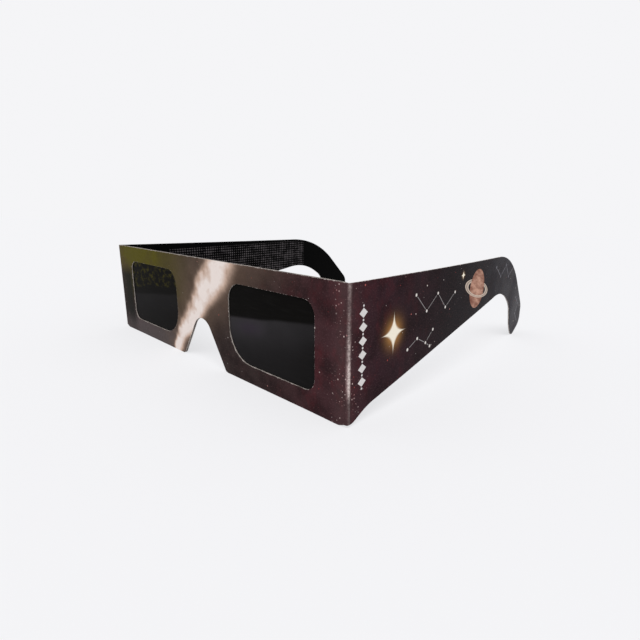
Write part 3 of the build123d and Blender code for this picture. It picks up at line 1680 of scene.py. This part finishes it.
@dataclass(frozen=True)
class NightPrint:
    """The print on the outside of the blank: a night sky under gloss laminate, worn pale along the folds. It
    also carries painted light: a highlight along the folds, and reflections on the front and towards the ear
    hooks.
    """

    fold_u: float
    temple_u: float
    height: float
    # The sky's print colours along the blank; their lift to a bluish grey towards the ear hooks is a painted
    # reflection
    sky_stops: tuple[tuple[float, Colour], ...] = (
        (0.00, ink(56, 49, 46)),
        (0.16, ink(54, 43, 42)),
        (0.26, ink(67, 43, 46)),
        (0.32, ink(61, 39, 43)),
        (0.37, ink(50, 31, 37)),
        (0.47, ink(42, 29, 33)),
        (0.55, ink(25, 20, 23)),
        (0.66, ink(20, 18, 22)),
        (0.82, ink(27, 25, 34)),
        (1.00, ink(31, 29, 38)),
    )
    sky_length: float = 222.0
    mottle: Colour = ink(24, 15, 17)
    mottle_grain: Grain = Grain(9.0, 5.0, 0.6, (0.62, 0.36))
    mottle_share: float = 0.6
    dust: Colour = ink(104, 78, 80)
    dust_grain: Grain = Grain(0.42, levels=(0.5, 0.76))
    dust_share: float = 0.3
    blush: Colour = ink(92, 34, 40)
    blush_grain: Grain = Grain(5.0, 5.0, 0.65, (0.46, 0.8))
    blush_squeeze: float = 0.6
    blush_layer: float = 7.0
    blush_width: float = 30.0
    blush_share: float = 0.5
    far_stars: Stars = Stars(
        spacing=1.5,
        smallest=0.07,
        largest=0.14,
        thinning=0.86,
        white=ink(150, 128, 124),
        red=ink(150, 54, 56),
    )
    near_stars: Stars = Stars(spacing=2.9, smallest=0.14, largest=0.34, thinning=0.84)
    # Painted reflections on the front, towards its right end: pale grey low down, olive trees high up and
    # near-black at the far end
    grey_wash: Wash = Wash(ink(86, 78, 78), along=(-6.0, 26.0), up=(14.0, 3.0))
    grey_share: float = 0.8
    olive_wash: Wash = Wash(ink(81, 75, 12), along=(-4.0, 40.0), up=(9.0, 25.0))
    olive_grain: Grain = Grain(12.0, 4.0, 0.6, (0.28, 0.62))
    olive_layer: float = 3.0
    olive_share: float = 0.55
    olive_grain_share: float = 0.5
    dusk_wash: Wash = Wash(ink(14, 14, 8), along=(54.0, 61.0), up=(31.0, 24.5))
    dusk_rise: tuple[float, float] = (1.0, 9.0)
    dusk_share: float = 0.35
    dusk_rise_share: float = 0.6
    long_figure: tuple[tuple[float, float], ...] = (
        (30.5, 30.5),
        (37.5, 24.5),
        (44.5, 29.0),
        (50.5, 23.5),
        (57.5, 27.5),
    )
    short_figure: tuple[tuple[float, float], ...] = (
        (27.0, 14.6),
        (32.5, 16.8),
        (38.0, 14.2),
        (42.5, 17.6),
        (38.0, 14.2),
        (41.0, 12.4),
    )
    far_figure: tuple[tuple[float, float], ...] = (
        (99.0, 31.5),
        (106.0, 27.0),
        (113.0, 31.0),
        (118.5, 25.5),
        (126.0, 29.0),
    )
    hook_figure: tuple[tuple[float, float], ...] = ((137.5, 13.0), (142.5, 9.0), (139.0, 4.5), (143.5, 0.5))
    dim: Colour = ink(104, 102, 108)
    dim_hairline: float = 0.3
    dim_dot: float = 0.8
    laminate: Gloss = Gloss(shine=0.010, clean=0.2, smudged=0.36)

    def sky(self, graph: Graph, u: Signal, v: Signal) -> Signal:
        """The night sky, before anything is drawn on it, with a painted reflection lightening it towards the
        ear hooks.

        Args:
            graph: The material.
            u: Place along the blank.
            v: Place up the blank.

        Returns:
            The sky's colour.
        """
        place = graph.point(u, v)
        # The lighter bluish end of this ramp is a painted reflection at the ear hooks
        base = graph.ramp(abs(u) / self.sky_length, self.sky_stops)
        mottled = graph.mix(self.mottle_grain.patches(graph, place) * self.mottle_share, base, self.mottle)
        dusted = graph.mix(self.dust_grain.patches(graph, place) * self.dust_share, mottled, self.dust)
        # A reddish tint in patches, strongest at the folds and fading away from them over some 30 mm
        near_fold = (abs(u) - self.fold_u).bell(self.blush_width)
        blush = self.blush_grain.patches(graph, graph.point(u, v * self.blush_squeeze, self.blush_layer))
        return graph.mix(blush * near_fold * self.blush_share, dusted, self.blush)

    def front(self, graph: Graph, u: Signal, v: Signal, ground: Signal) -> Signal:
        """What is drawn on the front alone: painted reflections towards its right end, of pale grey low down,
        olive trees high up and near-black at the far end, and the star cloud.

        Args:
            graph: The material.
            u: Place along the blank.
            v: Place up the blank.
            ground: The sky with its stars.

        Returns:
            The front's colour.
        """
        # Painted reflections, in patches: olive trees high up, near-black at the far end and pale grey low
        # down
        clouds = self.olive_grain.patches(graph, graph.point(u, v, self.olive_layer))
        olive_reflection_strength = clouds * self.olive_grain_share + self.olive_share
        dark_reflection_strength = v.step(*self.dusk_rise) * self.dusk_rise_share + self.dusk_share
        ground = self.grey_wash.over(graph, u, v, self.grey_share, ground)
        ground = self.olive_wash.over(graph, u, v, olive_reflection_strength, ground)
        ground = self.dusk_wash.over(graph, u, v, dark_reflection_strength, ground)
        band = StarCloud(top_u=14.0, foot_u=-20.0, height=self.height, width=2.5, spread=4.8, wander=15.0)
        return band.over(graph, u, v, ground)

    def dim_stars(self, places: Sequence[tuple[float, float]]) -> Constellation:
        """A fainter constellation, for the far end of a temple.

        Args:
            places: Where its stars stand.

        Returns:
            The constellation.
        """
        return Constellation(
            Spot.row(places),
            hairline=self.dim_hairline,
            dot=self.dim_dot,
            line_colour=self.dim,
            dot_colour=self.dim,
        )

    def temple(self, graph: Graph, u: Signal, v: Signal, ground: Signal) -> Signal:
        """What is drawn on the temples alone.

        Args:
            graph: The material.
            u: Place along the blank.
            v: Place up the blank.
            ground: The sky with its stars.

        Returns:
            The temple's colour.
        """
        motifs = (
            Braid(behind=4.6, low=9.5, pitch=3.7, count=6, diamond=1.8, dot=0.4),
            Sparkle(Spot(behind=19.0, height=21.5), reach=6.4, glow=3.6, glow_strength=0.85),
            Constellation(Spot.row(self.long_figure)),
            Constellation(Spot.row(self.short_figure)),
            RingedPlanet(Spot(behind=78.0, height=25.8), radius=7.3, ring_inner=9.3, ring_outer=12.4),
            Sparkle(Spot(behind=63.5, height=32.5), reach=2.0, glow=1.0, glow_strength=0.4),
            self.dim_stars(self.far_figure),
            self.dim_stars(self.hook_figure),
        )
        s = abs(u) - self.temple_u
        for motif in motifs:
            ground = motif.over(graph, s, v, ground)
        return ground

    def material(self, zone: Zone) -> bpy.types.Material:
        """The print's material for one part of the blank.

        Args:
            zone: The part of the blank.

        Returns:
            The material.
        """
        graph = Graph.of_material(f"{zone.value}_gloss")
        u, v, _ = graph.blank()
        place = graph.point(u, v)
        ground = self.far_stars.over(graph, place, self.sky(graph, u, v))
        ground = self.near_stars.over(graph, place, ground)
        if zone is Zone.FRONT:
            ground = self.front(graph, u, v, ground)
        if zone is Zone.TEMPLE:
            ground = self.temple(graph, u, v, ground)
        # Wear beside the folds everywhere; on the creases, the pale line of worn print and painted highlight
        wear_and_highlight = Wear(self.fold_u, self.height)
        colour = wear_and_highlight.beside(graph, u, v, ground)
        if zone is Zone.CREASE:
            colour = wear_and_highlight.line(graph, u, v, colour)
        return graph.surface({"Base Color": colour, **self.laminate.feeds(graph, place)})


@dataclass(frozen=True)
class BlackLining:
    """The black inside of the board, with a faint field of small dots on the temples."""

    black: Colour = ink(2, 2, 2)
    grey: Colour = ink(7, 7, 7)
    fibre: Grain = Grain(0.7, 5.0, 0.65, (0.4, 0.75))
    fibre_squeeze: float = 2.2
    nap: Nap = Nap(roughness=0.5, share=0.2, shine=0.025, height=0.000006)
    dot: Colour = ink(116, 110, 112)
    dot_pitch: float = 1.3
    dot_radius_share: float = 0.16
    dot_rim_share: float = 0.05
    dot_strength: float = 0.5
    swell: Grain = Grain(3.6, 3.0, 0.6, (0.36, 0.66))
    swell_layer: float = 5.0
    swell_share: float = 0.2
    field: tuple[float, float, float, float] = (22.0, 16.5, 110.0, 34.5)
    field_rim: float = 0.1

    def dots(self, graph: Graph, s: Signal, v: Signal) -> Signal:
        """The field of dots on a temple, which swell and shrink over it.

        Args:
            graph: The material.
            s: Distance behind the crease.
            v: Place up the blank.

        Returns:
            How strongly a dot covers the place.
        """
        x = (s / self.dot_pitch).fraction() - 0.5
        y = (v / self.dot_pitch).fraction() - 0.5
        swell = self.swell.patches(graph, graph.point(s, v, self.swell_layer)) * self.swell_share
        past_rim = (x * x + y * y).root() - swell - self.dot_radius_share
        left, low, right, high = self.field
        block = v.step(low, low + self.field_rim) * v.step(high, high - self.field_rim)
        block = block * s.step(left, left + self.field_rim) * s.step(right, right - self.field_rim)
        return past_rim.step(self.dot_rim_share, -self.dot_rim_share) * block * self.dot_strength

    def material(self, dotted: bool, temple_u: float = 0.0) -> bpy.types.Material:
        """The lining's material.

        Args:
            dotted: Whether it has the dots.
            temple_u: Where the temples start on the blank.

        Returns:
            The material.
        """
        graph = Graph.of_material("black_lining_dotted" if dotted else "black_lining")
        u, v, depth = graph.blank()
        fibre = self.fibre.noise(graph, graph.point(u, v * self.fibre_squeeze, depth))
        colour = graph.mix(fibre.step(*self.fibre.levels), self.black, self.grey)
        if dotted:
            colour = graph.mix(self.dots(graph, abs(u) - temple_u, v), colour, self.dot)
        return graph.surface({"Base Color": colour, **self.nap.feeds(graph, fibre)})


@dataclass(frozen=True)
class CutEdge:
    """The board's pale core where it was cut, rubbed dark in places, with a line of ink at each face."""

    thickness: float
    core: Colour = ink(206, 198, 190)
    shade: Colour = ink(150, 140, 134)
    dark: Colour = ink(40, 34, 34)
    fibre: Grain = Grain(0.5, 5.0, 0.7, (0.35, 0.7))
    fibre_squeeze: float = 5.0
    rubbing: Grain = Grain(5.0, 3.0, levels=(0.5, 0.7))
    rubbing_strength: float = 0.6
    line_depth_shares: tuple[float, float] = (0.2, 0.1)
    line_strength: float = 0.8
    nap: Nap = Nap(roughness=0.75, share=0.15, shine=0.2, height=0.00002)

    def material(self) -> bpy.types.Material:
        """The cut edge's material.

        Returns:
            The material.
        """
        graph = Graph.of_material("cut_edge")
        u, v, depth = graph.blank()
        fibre = self.fibre.noise(graph, graph.point(u, v, depth * self.fibre_squeeze))
        colour = graph.mix(fibre.step(*self.fibre.levels), self.shade, self.core)
        rubbing = self.rubbing.patches(graph, graph.point(u, v)) * self.rubbing_strength
        colour = graph.mix(rubbing, colour, self.dark)
        from_face = depth.least(self.thickness - depth) / self.thickness
        line = from_face.step(*self.line_depth_shares) * self.line_strength
        colour = graph.mix(line, colour, self.dark)
        return graph.surface({"Base Color": colour, **self.nap.feeds(graph, fibre)})


@dataclass(frozen=True)
class FilterBlack:
    """The filter film: near-black and smooth, with faint draw streaks and painted reflections: a soft grey
    band, a violet band and olive leaves of trees in the far window.

    The bands lie along a level that slopes along the blank and steps up at the far window.
    """

    black: Colour = ink(17, 16, 15)
    streak: Colour = ink(22, 21, 20)
    streaks: Grain = Grain(1.0, 4.0, 0.6, (0.45, 0.75))
    streak_squeeze: tuple[float, float] = (0.12, 1.6)
    streak_layer: float = 2.0
    window_change: tuple[float, float] = (-5.0, 5.0)
    slope: float = 0.12
    far_lift: float = 6.3
    # Painted reflection bands in the film: a grey haze band, a violet band and olive leaves in the far window
    haze: Colour = ink(53, 51, 53)
    haze_top: float = 18.3
    haze_rim: tuple[float, float] = (0.5, -0.7)
    haze_drop: float = 1.0
    haze_width: float = 6.5
    haze_base_share: float = 0.28
    haze_bell_share: float = 0.55
    sway: Grain = Grain(30.0)
    sway_reach: float = 1.6
    clouds: Grain = Grain(14.0, 3.0)
    cloud_base: float = 0.55
    cloud_share: float = 0.8
    fading: tuple[float, float] = (90.0, 16.0)
    near_strength: float = 1.35
    far_strength: float = 0.3
    violet: Colour = ink(54, 42, 58)
    violet_drop: float = 3.0
    violet_rise: float = 2.2
    violet_u: float = 28.0
    violet_run: float = 6.0
    violet_strength: float = 0.4
    moss: Colour = ink(57, 53, 19)
    moss_foot: float = 21.0
    moss_rim: float = 0.6
    leaves: Grain = Grain(2.0, 4.0, 0.75, (0.48, 0.66))
    leaf_squeeze: float = 0.6
    leaf_layer: float = 6.0
    gloss: Gloss = Gloss(
        shine=0.005,
        clean=0.06,
        smudged=0.14,
        smudges=Grain(11.0, 4.0, 0.6, (0.35, 0.7)),
        peel=Grain(6.0),
        peel_height=0.000012,
    )

    def hazed(
        self, graph: Graph, u: Signal, v: Signal, level: Signal, far: Signal, ground: Signal
    ) -> Signal:
        """The painted reflection bands over the film, grey and violet.

        Args:
            graph: The material.
            u: Place along the blank.
            v: Place up the blank.
            level: Height above the sloping level.
            far: 1 in the far window and 0 in the near one.
            ground: The film's colour.

        Returns:
            The film with its painted reflection bands.
        """
        place = graph.point(u, v)
        above = level - self.haze_top + (self.sway.noise(graph, place) - 0.5) * self.sway_reach
        body = (above + self.haze_drop).bell(self.haze_width) * self.haze_bell_share + self.haze_base_share
        clouds = self.clouds.noise(graph, place) * self.cloud_share + self.cloud_base
        strength = far * (self.far_strength - self.near_strength) + self.near_strength
        band = above.step(*self.haze_rim) * body * clouds * u.step(*self.fading) * strength
        # The grey haze band and the violet band are painted reflections
        hazed = graph.mix(band, ground, self.haze)
        violet = (above + self.violet_drop).bell(self.violet_rise) * (u - self.violet_u).bell(self.violet_run)
        return graph.mix(violet * self.violet_strength, hazed, self.violet)

    def material(self) -> bpy.types.Material:
        """The film's material.

        Returns:
            The material.
        """
        graph = Graph.of_material("filter_black")
        u, v, _ = graph.blank()
        far = (u * -1.0).step(*self.window_change)
        level = v - u * self.slope - far * self.far_lift
        along, up = self.streak_squeeze
        streaks = self.streaks.patches(graph, graph.point(u * along, v * up, self.streak_layer))
        colour = graph.mix(streaks, self.black, self.streak)
        colour = self.hazed(graph, u, v, level, far, colour)
        # Olive leaves in the far window: a painted reflection of trees
        leaves = self.leaves.patches(graph, graph.point(u * self.leaf_squeeze, v, self.leaf_layer))
        olive_tree_reflection_cover = (level - self.moss_foot).step(-self.moss_rim, self.moss_rim) * far
        colour = graph.mix(olive_tree_reflection_cover * leaves, colour, self.moss)
        return graph.surface({"Base Color": colour, **self.gloss.feeds(graph, graph.point(u, v))})


@dataclass(frozen=True)
class DriedGlue:
    """The dried white glue between the two cards."""

    wet: Colour = ink(196, 190, 172)
    dry: Colour = ink(222, 218, 206)
    blots: Grain = Grain(2.5, 5.0, 0.6, (0.35, 0.65))
    nap: Nap = Nap(roughness=0.4, share=0.3, shine=0.4, height=0.00003)

    def material(self) -> bpy.types.Material:
        """The glue's material.

        Returns:
            The material.
        """
        graph = Graph.of_material("dried_glue")
        blots = self.blots.noise(graph, graph.point(*graph.blank()))
        colour = graph.mix(blots.step(*self.blots.levels), self.wet, self.dry)
        return graph.surface({"Base Color": colour, **self.nap.feeds(graph, blots)})


@dataclass(frozen=True)
class Looks:
    """Every finish of the glasses, made once and shared by the pieces."""

    front: Finishes
    fold: Finishes
    temple: Finishes
    inner: Finishes
    film: Finishes
    glue: Finishes

    @classmethod
    def of_blank(cls, fold_u: float, temple_u: float, height: float, thickness: float) -> "Looks":
        """The finishes of a blank.

        Args:
            fold_u: The middle of the folds on the blank.
            temple_u: Where the temples start on the blank.
            height: The front's height.
            thickness: The board's thickness.

        Returns:
            The finishes.
        """
        printed = NightPrint(fold_u, temple_u, height)
        edge = CutEdge(thickness).material()
        plain = BlackLining().material(dotted=False)
        dotted = BlackLining().material(dotted=True, temple_u=temple_u)
        film = FilterBlack().material()
        glue = DriedGlue().material()
        return cls(
            front=Finishes(printed.material(Zone.FRONT), edge, plain),
            fold=Finishes(printed.material(Zone.CREASE), edge, plain),
            temple=Finishes(printed.material(Zone.TEMPLE), edge, dotted),
            inner=Finishes(plain, edge, plain),
            film=Finishes(film, film, film),
            glue=Finishes(glue, glue, glue),
        )


@dataclass(frozen=True)
class Warp:
    """How a sheet has set: a slight wave that only goes towards the head and is nothing at the fold."""

    depth: float
    wave: float
    seed: float
    still: float
    fade: float

    def at(self, u: float, v: float) -> float:
        """How far the sheet has moved.

        Args:
            u: Place along the blank.
            v: Place up the blank.

        Returns:
            The distance, from 0 to the warp's depth.
        """
        hold = ease(abs(abs(u) - self.still), 0.0, self.fade)
        return hold * self.depth * (0.5 + 0.5 * ripple(u, v, self.wave, self.seed))


@dataclass(frozen=True)
class FilmWave:
    """The slight waves of a film inside its window. The card holds it still round the window."""

    box: tuple[float, float, float, float]
    depth: float = 0.11
    long_wave: float = 27.0
    long_squeeze: float = 1.6
    long_seed: float = 8.0
    short_wave: float = 9.0
    short_seed: float = 9.0
    short_share: float = 0.35
    held: float = 3.6
    free: float = 10.0

    def at(self, u: float, v: float) -> float:
        """How far the film has moved.

        Args:
            u: Place along the blank.
            v: Place up the blank.

        Returns:
            The distance, either way.
        """
        left, low, right, high = self.box
        from_edge = min(u - left, right - u, v - low, high - v)
        wave = ripple(u, v * self.long_squeeze, self.long_wave, self.long_seed)
        wave += self.short_share * ripple(u, v, self.short_wave, self.short_seed)
        return ease(from_edge, self.held, self.free) * self.depth * wave


# How the board's edges were cut, and how far round a fold its ridge lies
BOARD_CUT = DieCut(rounding=0.07, steps=3, burr_share=0.5, burr_wave=0.9)
RIDGE_TURN = math.radians(45)


@dataclass(frozen=True)
class FrontPanel:
    """The front: two cards glued together, with a filter film behind each window."""

    card: Card
    warp: Warp
    looks: Looks
    pitch: float = 1.1
    film_pitch: float = 0.9
    cut: DieCut = BOARD_CUT
    film_cut: DieCut = DieCut(rounding=0.02, steps=2)
    glue_cut: DieCut = DieCut(rounding=0.05, steps=2, wander_share=4.0, wander_wave=3.5)

    def outer_card(self) -> bpy.types.Object:
        """The printed card, whose ends run on into the folds.

        Returns:
            The piece.
        """
        sheet = FlatSheet.of_node(self.card, "front_card")
        outlines = Outlines.of_node("front_card", sheet)
        end = outlines.reach
        board = Board(sheet, outlines, self.cut, self.looks.front, self.pitch, self.set_back, (end, -end))
        return self.fit(board.build("printed_front"), "front_card")

    def inner_card(self) -> bpy.types.Object:
        """The plain card towards the face.

        Returns:
            The piece.
        """
        sheet = FlatSheet.of_node(self.card, "back_card")
        outlines = Outlines.of_node("back_card", sheet)
        board = Board(sheet, outlines, self.cut, self.looks.inner, self.pitch, self.set_back)
        return self.fit(board.build("inner_front"), "back_card")

    def glue(self) -> bpy.types.Object:
        """The glue between the cards, with an edge that has run unevenly.

        Returns:
            The piece.
        """
        sheet = FlatSheet.of_node(self.card, "frame_glue")
        outlines = Outlines.of_node("frame_glue", sheet)
        board = Board(sheet, outlines, self.glue_cut, self.looks.glue, self.pitch, self.set_back)
        return self.fit(board.build("glue_layer"), "frame_glue")

    def film(self, side: Side) -> bpy.types.Object:
        """One filter film.

        Args:
            side: Its side.

        Returns:
            The piece.
        """
        node = f"{side.word}_filter"
        sheet = FlatSheet.of_node(self.card, node)
        outlines = Outlines.of_node(node, sheet)
        waves = FilmWave(outlines.box)

        def relief(u: float, v: float, depth: float) -> float:
            """The panel's set and the film's own waves."""
            return self.warp.at(u, v) + waves.at(u, v)

        board = Board(sheet, outlines, self.film_cut, self.looks.film, self.film_pitch, relief)
        return self.fit(board.build(f"{side.word}_filter_film"), node)

    def set_back(self, u: float, v: float, depth: float) -> float:
        """The panel's set, which all its plies share."""
        return self.warp.at(u, v)

    def fit(self, piece: bpy.types.Object, node: str) -> bpy.types.Object:
        """Puts a piece in its node's place on the front.

        Args:
            piece: The piece.
            node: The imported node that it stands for.

        Returns:
            The same piece.
        """
        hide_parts(node)
        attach(piece, "front_panel")
        return piece

    def build(self) -> list[bpy.types.Object]:
        """All of the front's pieces."""
        cards = [self.outer_card(), self.inner_card(), self.glue()]
        return cards + [self.film(side) for side in Side]


@dataclass(frozen=True)
class Fold:
    """One fold of the blank, bent to meet its temple at rest, which has cracked a little on the outside."""

    crease: Crease
    angle: float
    looks: Looks
    low: float
    high: float
    pitch: float = 0.17
    cut: DieCut = BOARD_CUT
    crack_depth: float = 0.06
    crack_across: float = 0.3
    crack_up: float = 1.4
    crack_seed: float = 3.0
    score_depth: float = 0.03
    score_width: float = 0.14
    worn_height_share: float = 0.42

    def relief(self, u: float, v: float, depth: float) -> float:
        """Cracks over the bend and a score line at each end of it, on the outer face.

        Args:
            u: Place along the blank.
            v: Place up the blank.
            depth: Depth in the board.

        Returns:
            How far the place has moved inward.
        """
        crease = self.crease
        along = abs(u) - crease.front_end
        bend = crease.middle * self.angle
        middle = crease.land + bend / 2
        over = max(0.0, 1 - ((along - middle) / (bend / 2)) ** 2)
        squeezed = u * self.crack_up / self.crack_across
        cracks = math.sqrt(max(0.0, ripple(squeezed, v, self.crack_up, self.crack_seed)))
        worn = 1 - abs(v / self.high - self.worn_height_share)
        from_score = min(abs(along - crease.land), abs(along - crease.land - bend))
        score = math.exp(-((from_score / self.score_width) ** 2))
        inward = over * cracks * worn * self.crack_depth + score * self.score_depth
        return inward * (1 - depth / crease.thickness)

    def build(self) -> bpy.types.Object:
        """Makes the fold, between the front and its temple.

        Returns:
            The piece.
        """
        crease, side = self.crease, self.crease.side
        ends = (side.value * crease.front_end, side.value * crease.end_u(self.angle))
        outlines = Outlines.of_strip(*ends, self.low, self.high)
        sheet = BentSheet(crease, self.angle)
        board = Board(sheet, outlines, self.cut, self.looks.fold, self.pitch, self.relief, ends)
        piece = board.build(f"{side.word}_fold")
        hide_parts(f"{side.word}_crease")
        height = (self.low + self.high) / 2
        start = sheet.roll(side.value * (crease.front_end + crease.land), height, 0.0)
        end = sheet.roll(ends[1] - side.value * crease.land, height, 0.0)
        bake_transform(piece)
        return piece


@dataclass(frozen=True)
class Temple:
    """One temple with its ear hook."""

    sheet: BowedSheet
    warp: Warp
    looks: Looks
    pitch: float = 1.2
    cut: DieCut = BOARD_CUT

    def set_in(self, u: float, v: float, depth: float) -> float:
        """How far the board has set towards the head."""
        return self.warp.at(u, v)

    def build(self) -> bpy.types.Object:
        """Makes the temple.

        Returns:
            The piece.
        """
        side = self.sheet.side
        node = f"{side.word}_temple"
        outlines = Outlines.of_node(node, self.sheet)
        seams = (side.value * self.sheet.start_u,)
        board = Board(self.sheet, outlines, self.cut, self.looks.temple, self.pitch, self.set_in, seams)
        piece = board.build(f"{side.word}_temple_board")
        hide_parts(node)
        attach(piece, side.arm)
        return piece


@dataclass(frozen=True)
class Studio:
    """The pale sweep, its light and the camera."""

    card: Card
    sweep: Colour = (0.918, 0.918, 0.935, 1.0)
    backdrop: Colour = (0.912, 0.912, 0.929, 1.0)
    fill: Colour = (0.60, 0.60, 0.61, 1.0)
    floor_half: float = 3.0
    floor_glow_share: float = 0.7
    key_way: tuple[float, float, float] = (-0.35, 0.45, -1.0)
    key_energy: float = 1.35
    key_angle: float = math.radians(38)
    camera_place: tuple[float, float, float] = (137.055, -76.737, 55.719)
    azimuth: float = math.radians(45.104)
    elevation: float = math.radians(14.703)
    roll: float = math.radians(0.2225)
    focal_px: float = 437.337
    picture_px: float = 640.0
    sensor_mm: float = 36.0
    nearest: float = 0.005

    @staticmethod
    def seen(graph: Graph) -> Signal:
        """Which rays see the pale colours.

        Args:
            graph: The material or world.

        Returns:
            1 for rays that come from the camera, a reflection or a see-through surface, otherwise 0.
        """
        path = graph.add("LightPath", {})
        seen = graph.signal(path, "Is Camera Ray")
        for output in ("Is Glossy Ray", "Is Transmission Ray"):
            seen = seen.largest(graph.signal(path, output))
        return seen

    def world(self) -> None:
        """Lights the scene evenly, before a pale backdrop."""
        world = bpy.data.worlds.new("pale_studio")
        bpy.context.scene.world = world
        graph = Graph(world)
        colour = graph.mix(self.seen(graph), self.fill, self.backdrop)
        light = graph.add("Background", {"Color": colour, "Strength": 1.0})
        graph.add("OutputWorld", {"Surface": graph.signal(light)})

    def floor(self) -> bpy.types.Object:
        """The sweep's floor, on which the glasses stand.

        Returns:
            The floor.
        """
        level = min(CAD_BOX[0][2], CAD_BOX[1][2])
        half = self.floor_half
        corners = [(x, y, level) for x, y in ((-half, -half), (half, -half), (half, half), (-half, half))]
        mesh = bpy.data.meshes.new("sweep_floor")
        mesh.from_pydata(corners, [], [(0, 1, 2, 3)])
        graph = Graph.of_material("pale_sweep")
        matte = graph.signal(graph.add("BsdfDiffuse", {"Color": self.sweep}))
        glow = graph.signal(graph.add("Emission", {"Color": self.sweep, "Strength": 1.0}))
        share = self.seen(graph) * self.floor_glow_share
        both = graph.signal(graph.add("MixShader", {0: share, 1: matte, 2: glow}))
        graph.add("OutputMaterial", {"Surface": both})
        mesh.materials.append(graph.owner)
        floor = bpy.data.objects.new("sweep_floor", mesh)
        bpy.context.scene.collection.objects.link(floor)
        return floor

    def key(self) -> bpy.types.Object:
        """The large soft key light, high in front.

        Returns:
            The lamp.
        """
        data = bpy.data.lights.new("key", "SUN")
        data.energy = self.key_energy
        data.angle = self.key_angle
        lamp = bpy.data.objects.new("key", data)
        lamp.rotation_euler = Vector(self.key_way).to_track_quat("-Z", "Y").to_euler()
        bpy.context.scene.collection.objects.link(lamp)
        return lamp

    def camera(self) -> bpy.types.Object:
        """The camera, as the photograph's outlines place it.

        Returns:
            The camera.
        """
        sine, cosine = math.sin(self.azimuth), math.cos(self.azimuth)
        level, drop = math.cos(self.elevation), math.sin(self.elevation)
        ahead = Vector((-sine * level, cosine * level, -drop))
        across = Vector((cosine, sine, 0))
        right = across * math.cos(self.roll) + across.cross(ahead) * math.sin(self.roll)
        ahead, right = self.card.turn(ahead), self.card.turn(right)
        axes = Matrix((right, right.cross(ahead), -ahead)).transposed().to_4x4()
        data = bpy.data.cameras.new("camera")
        data.sensor_width = self.sensor_mm
        data.lens = self.focal_px / self.picture_px * self.sensor_mm
        data.clip_start = self.nearest
        camera = bpy.data.objects.new("camera", data)
        camera.matrix_world = Matrix.Translation(self.card.place(*self.camera_place)) @ axes
        bpy.context.scene.collection.objects.link(camera)
        bpy.context.scene.camera = camera
        return camera

    def build(self) -> None:
        """Sets the whole studio up."""
        self.world()
        self.floor()
        self.key()
        self.camera()
        bpy.context.scene.view_settings.view_transform = "Standard"


def main() -> None:
    """Builds the glasses' looks and the studio, in order, and reports each piece."""
    logging.basicConfig(level=logging.INFO, format="%(name)s: %(message)s")
    card = Card.as_packed()
    front = FlatSheet.of_node(card, "front_card")
    outlines = Outlines.of_node("front_card", front)
    low, height = outlines.end_span
    creases = {side: Crease(card, side, outlines.reach, front.thickness) for side in Side}
    angles = {}
    for side, crease in creases.items():
        angles[side] = crease.angle(BowedSheet.of_node(card, side, 0.0).heading)
    left = creases[Side.LEFT]
    fold_u = outlines.reach + left.land + left.middle * RIDGE_TURN
    temple_u = left.end_u(angles[Side.LEFT])
    looks = Looks.of_blank(fold_u, temple_u, height, front.thickness)
    warp = Warp(depth=0.2, wave=46.0, seed=4.0, still=outlines.reach, fade=18.0)
    pieces = FrontPanel(card, warp, looks).build()
    for side, crease in creases.items():
        pieces.append(Fold(crease, angles[side], looks, low, height).build())
        start_u = crease.end_u(angles[side])
        warp = Warp(depth=0.28, wave=52.0, seed=6.0 + side.value, still=start_u, fade=24.0)
        pieces.append(Temple(BowedSheet.of_node(card, side, start_u), warp, looks).build())
    Studio(card).build()
    for piece in pieces:
        log.info("%s: %d points, %d faces", piece.name, len(piece.data.vertices), len(piece.data.polygons))


if __name__ == "__main__":
    main()
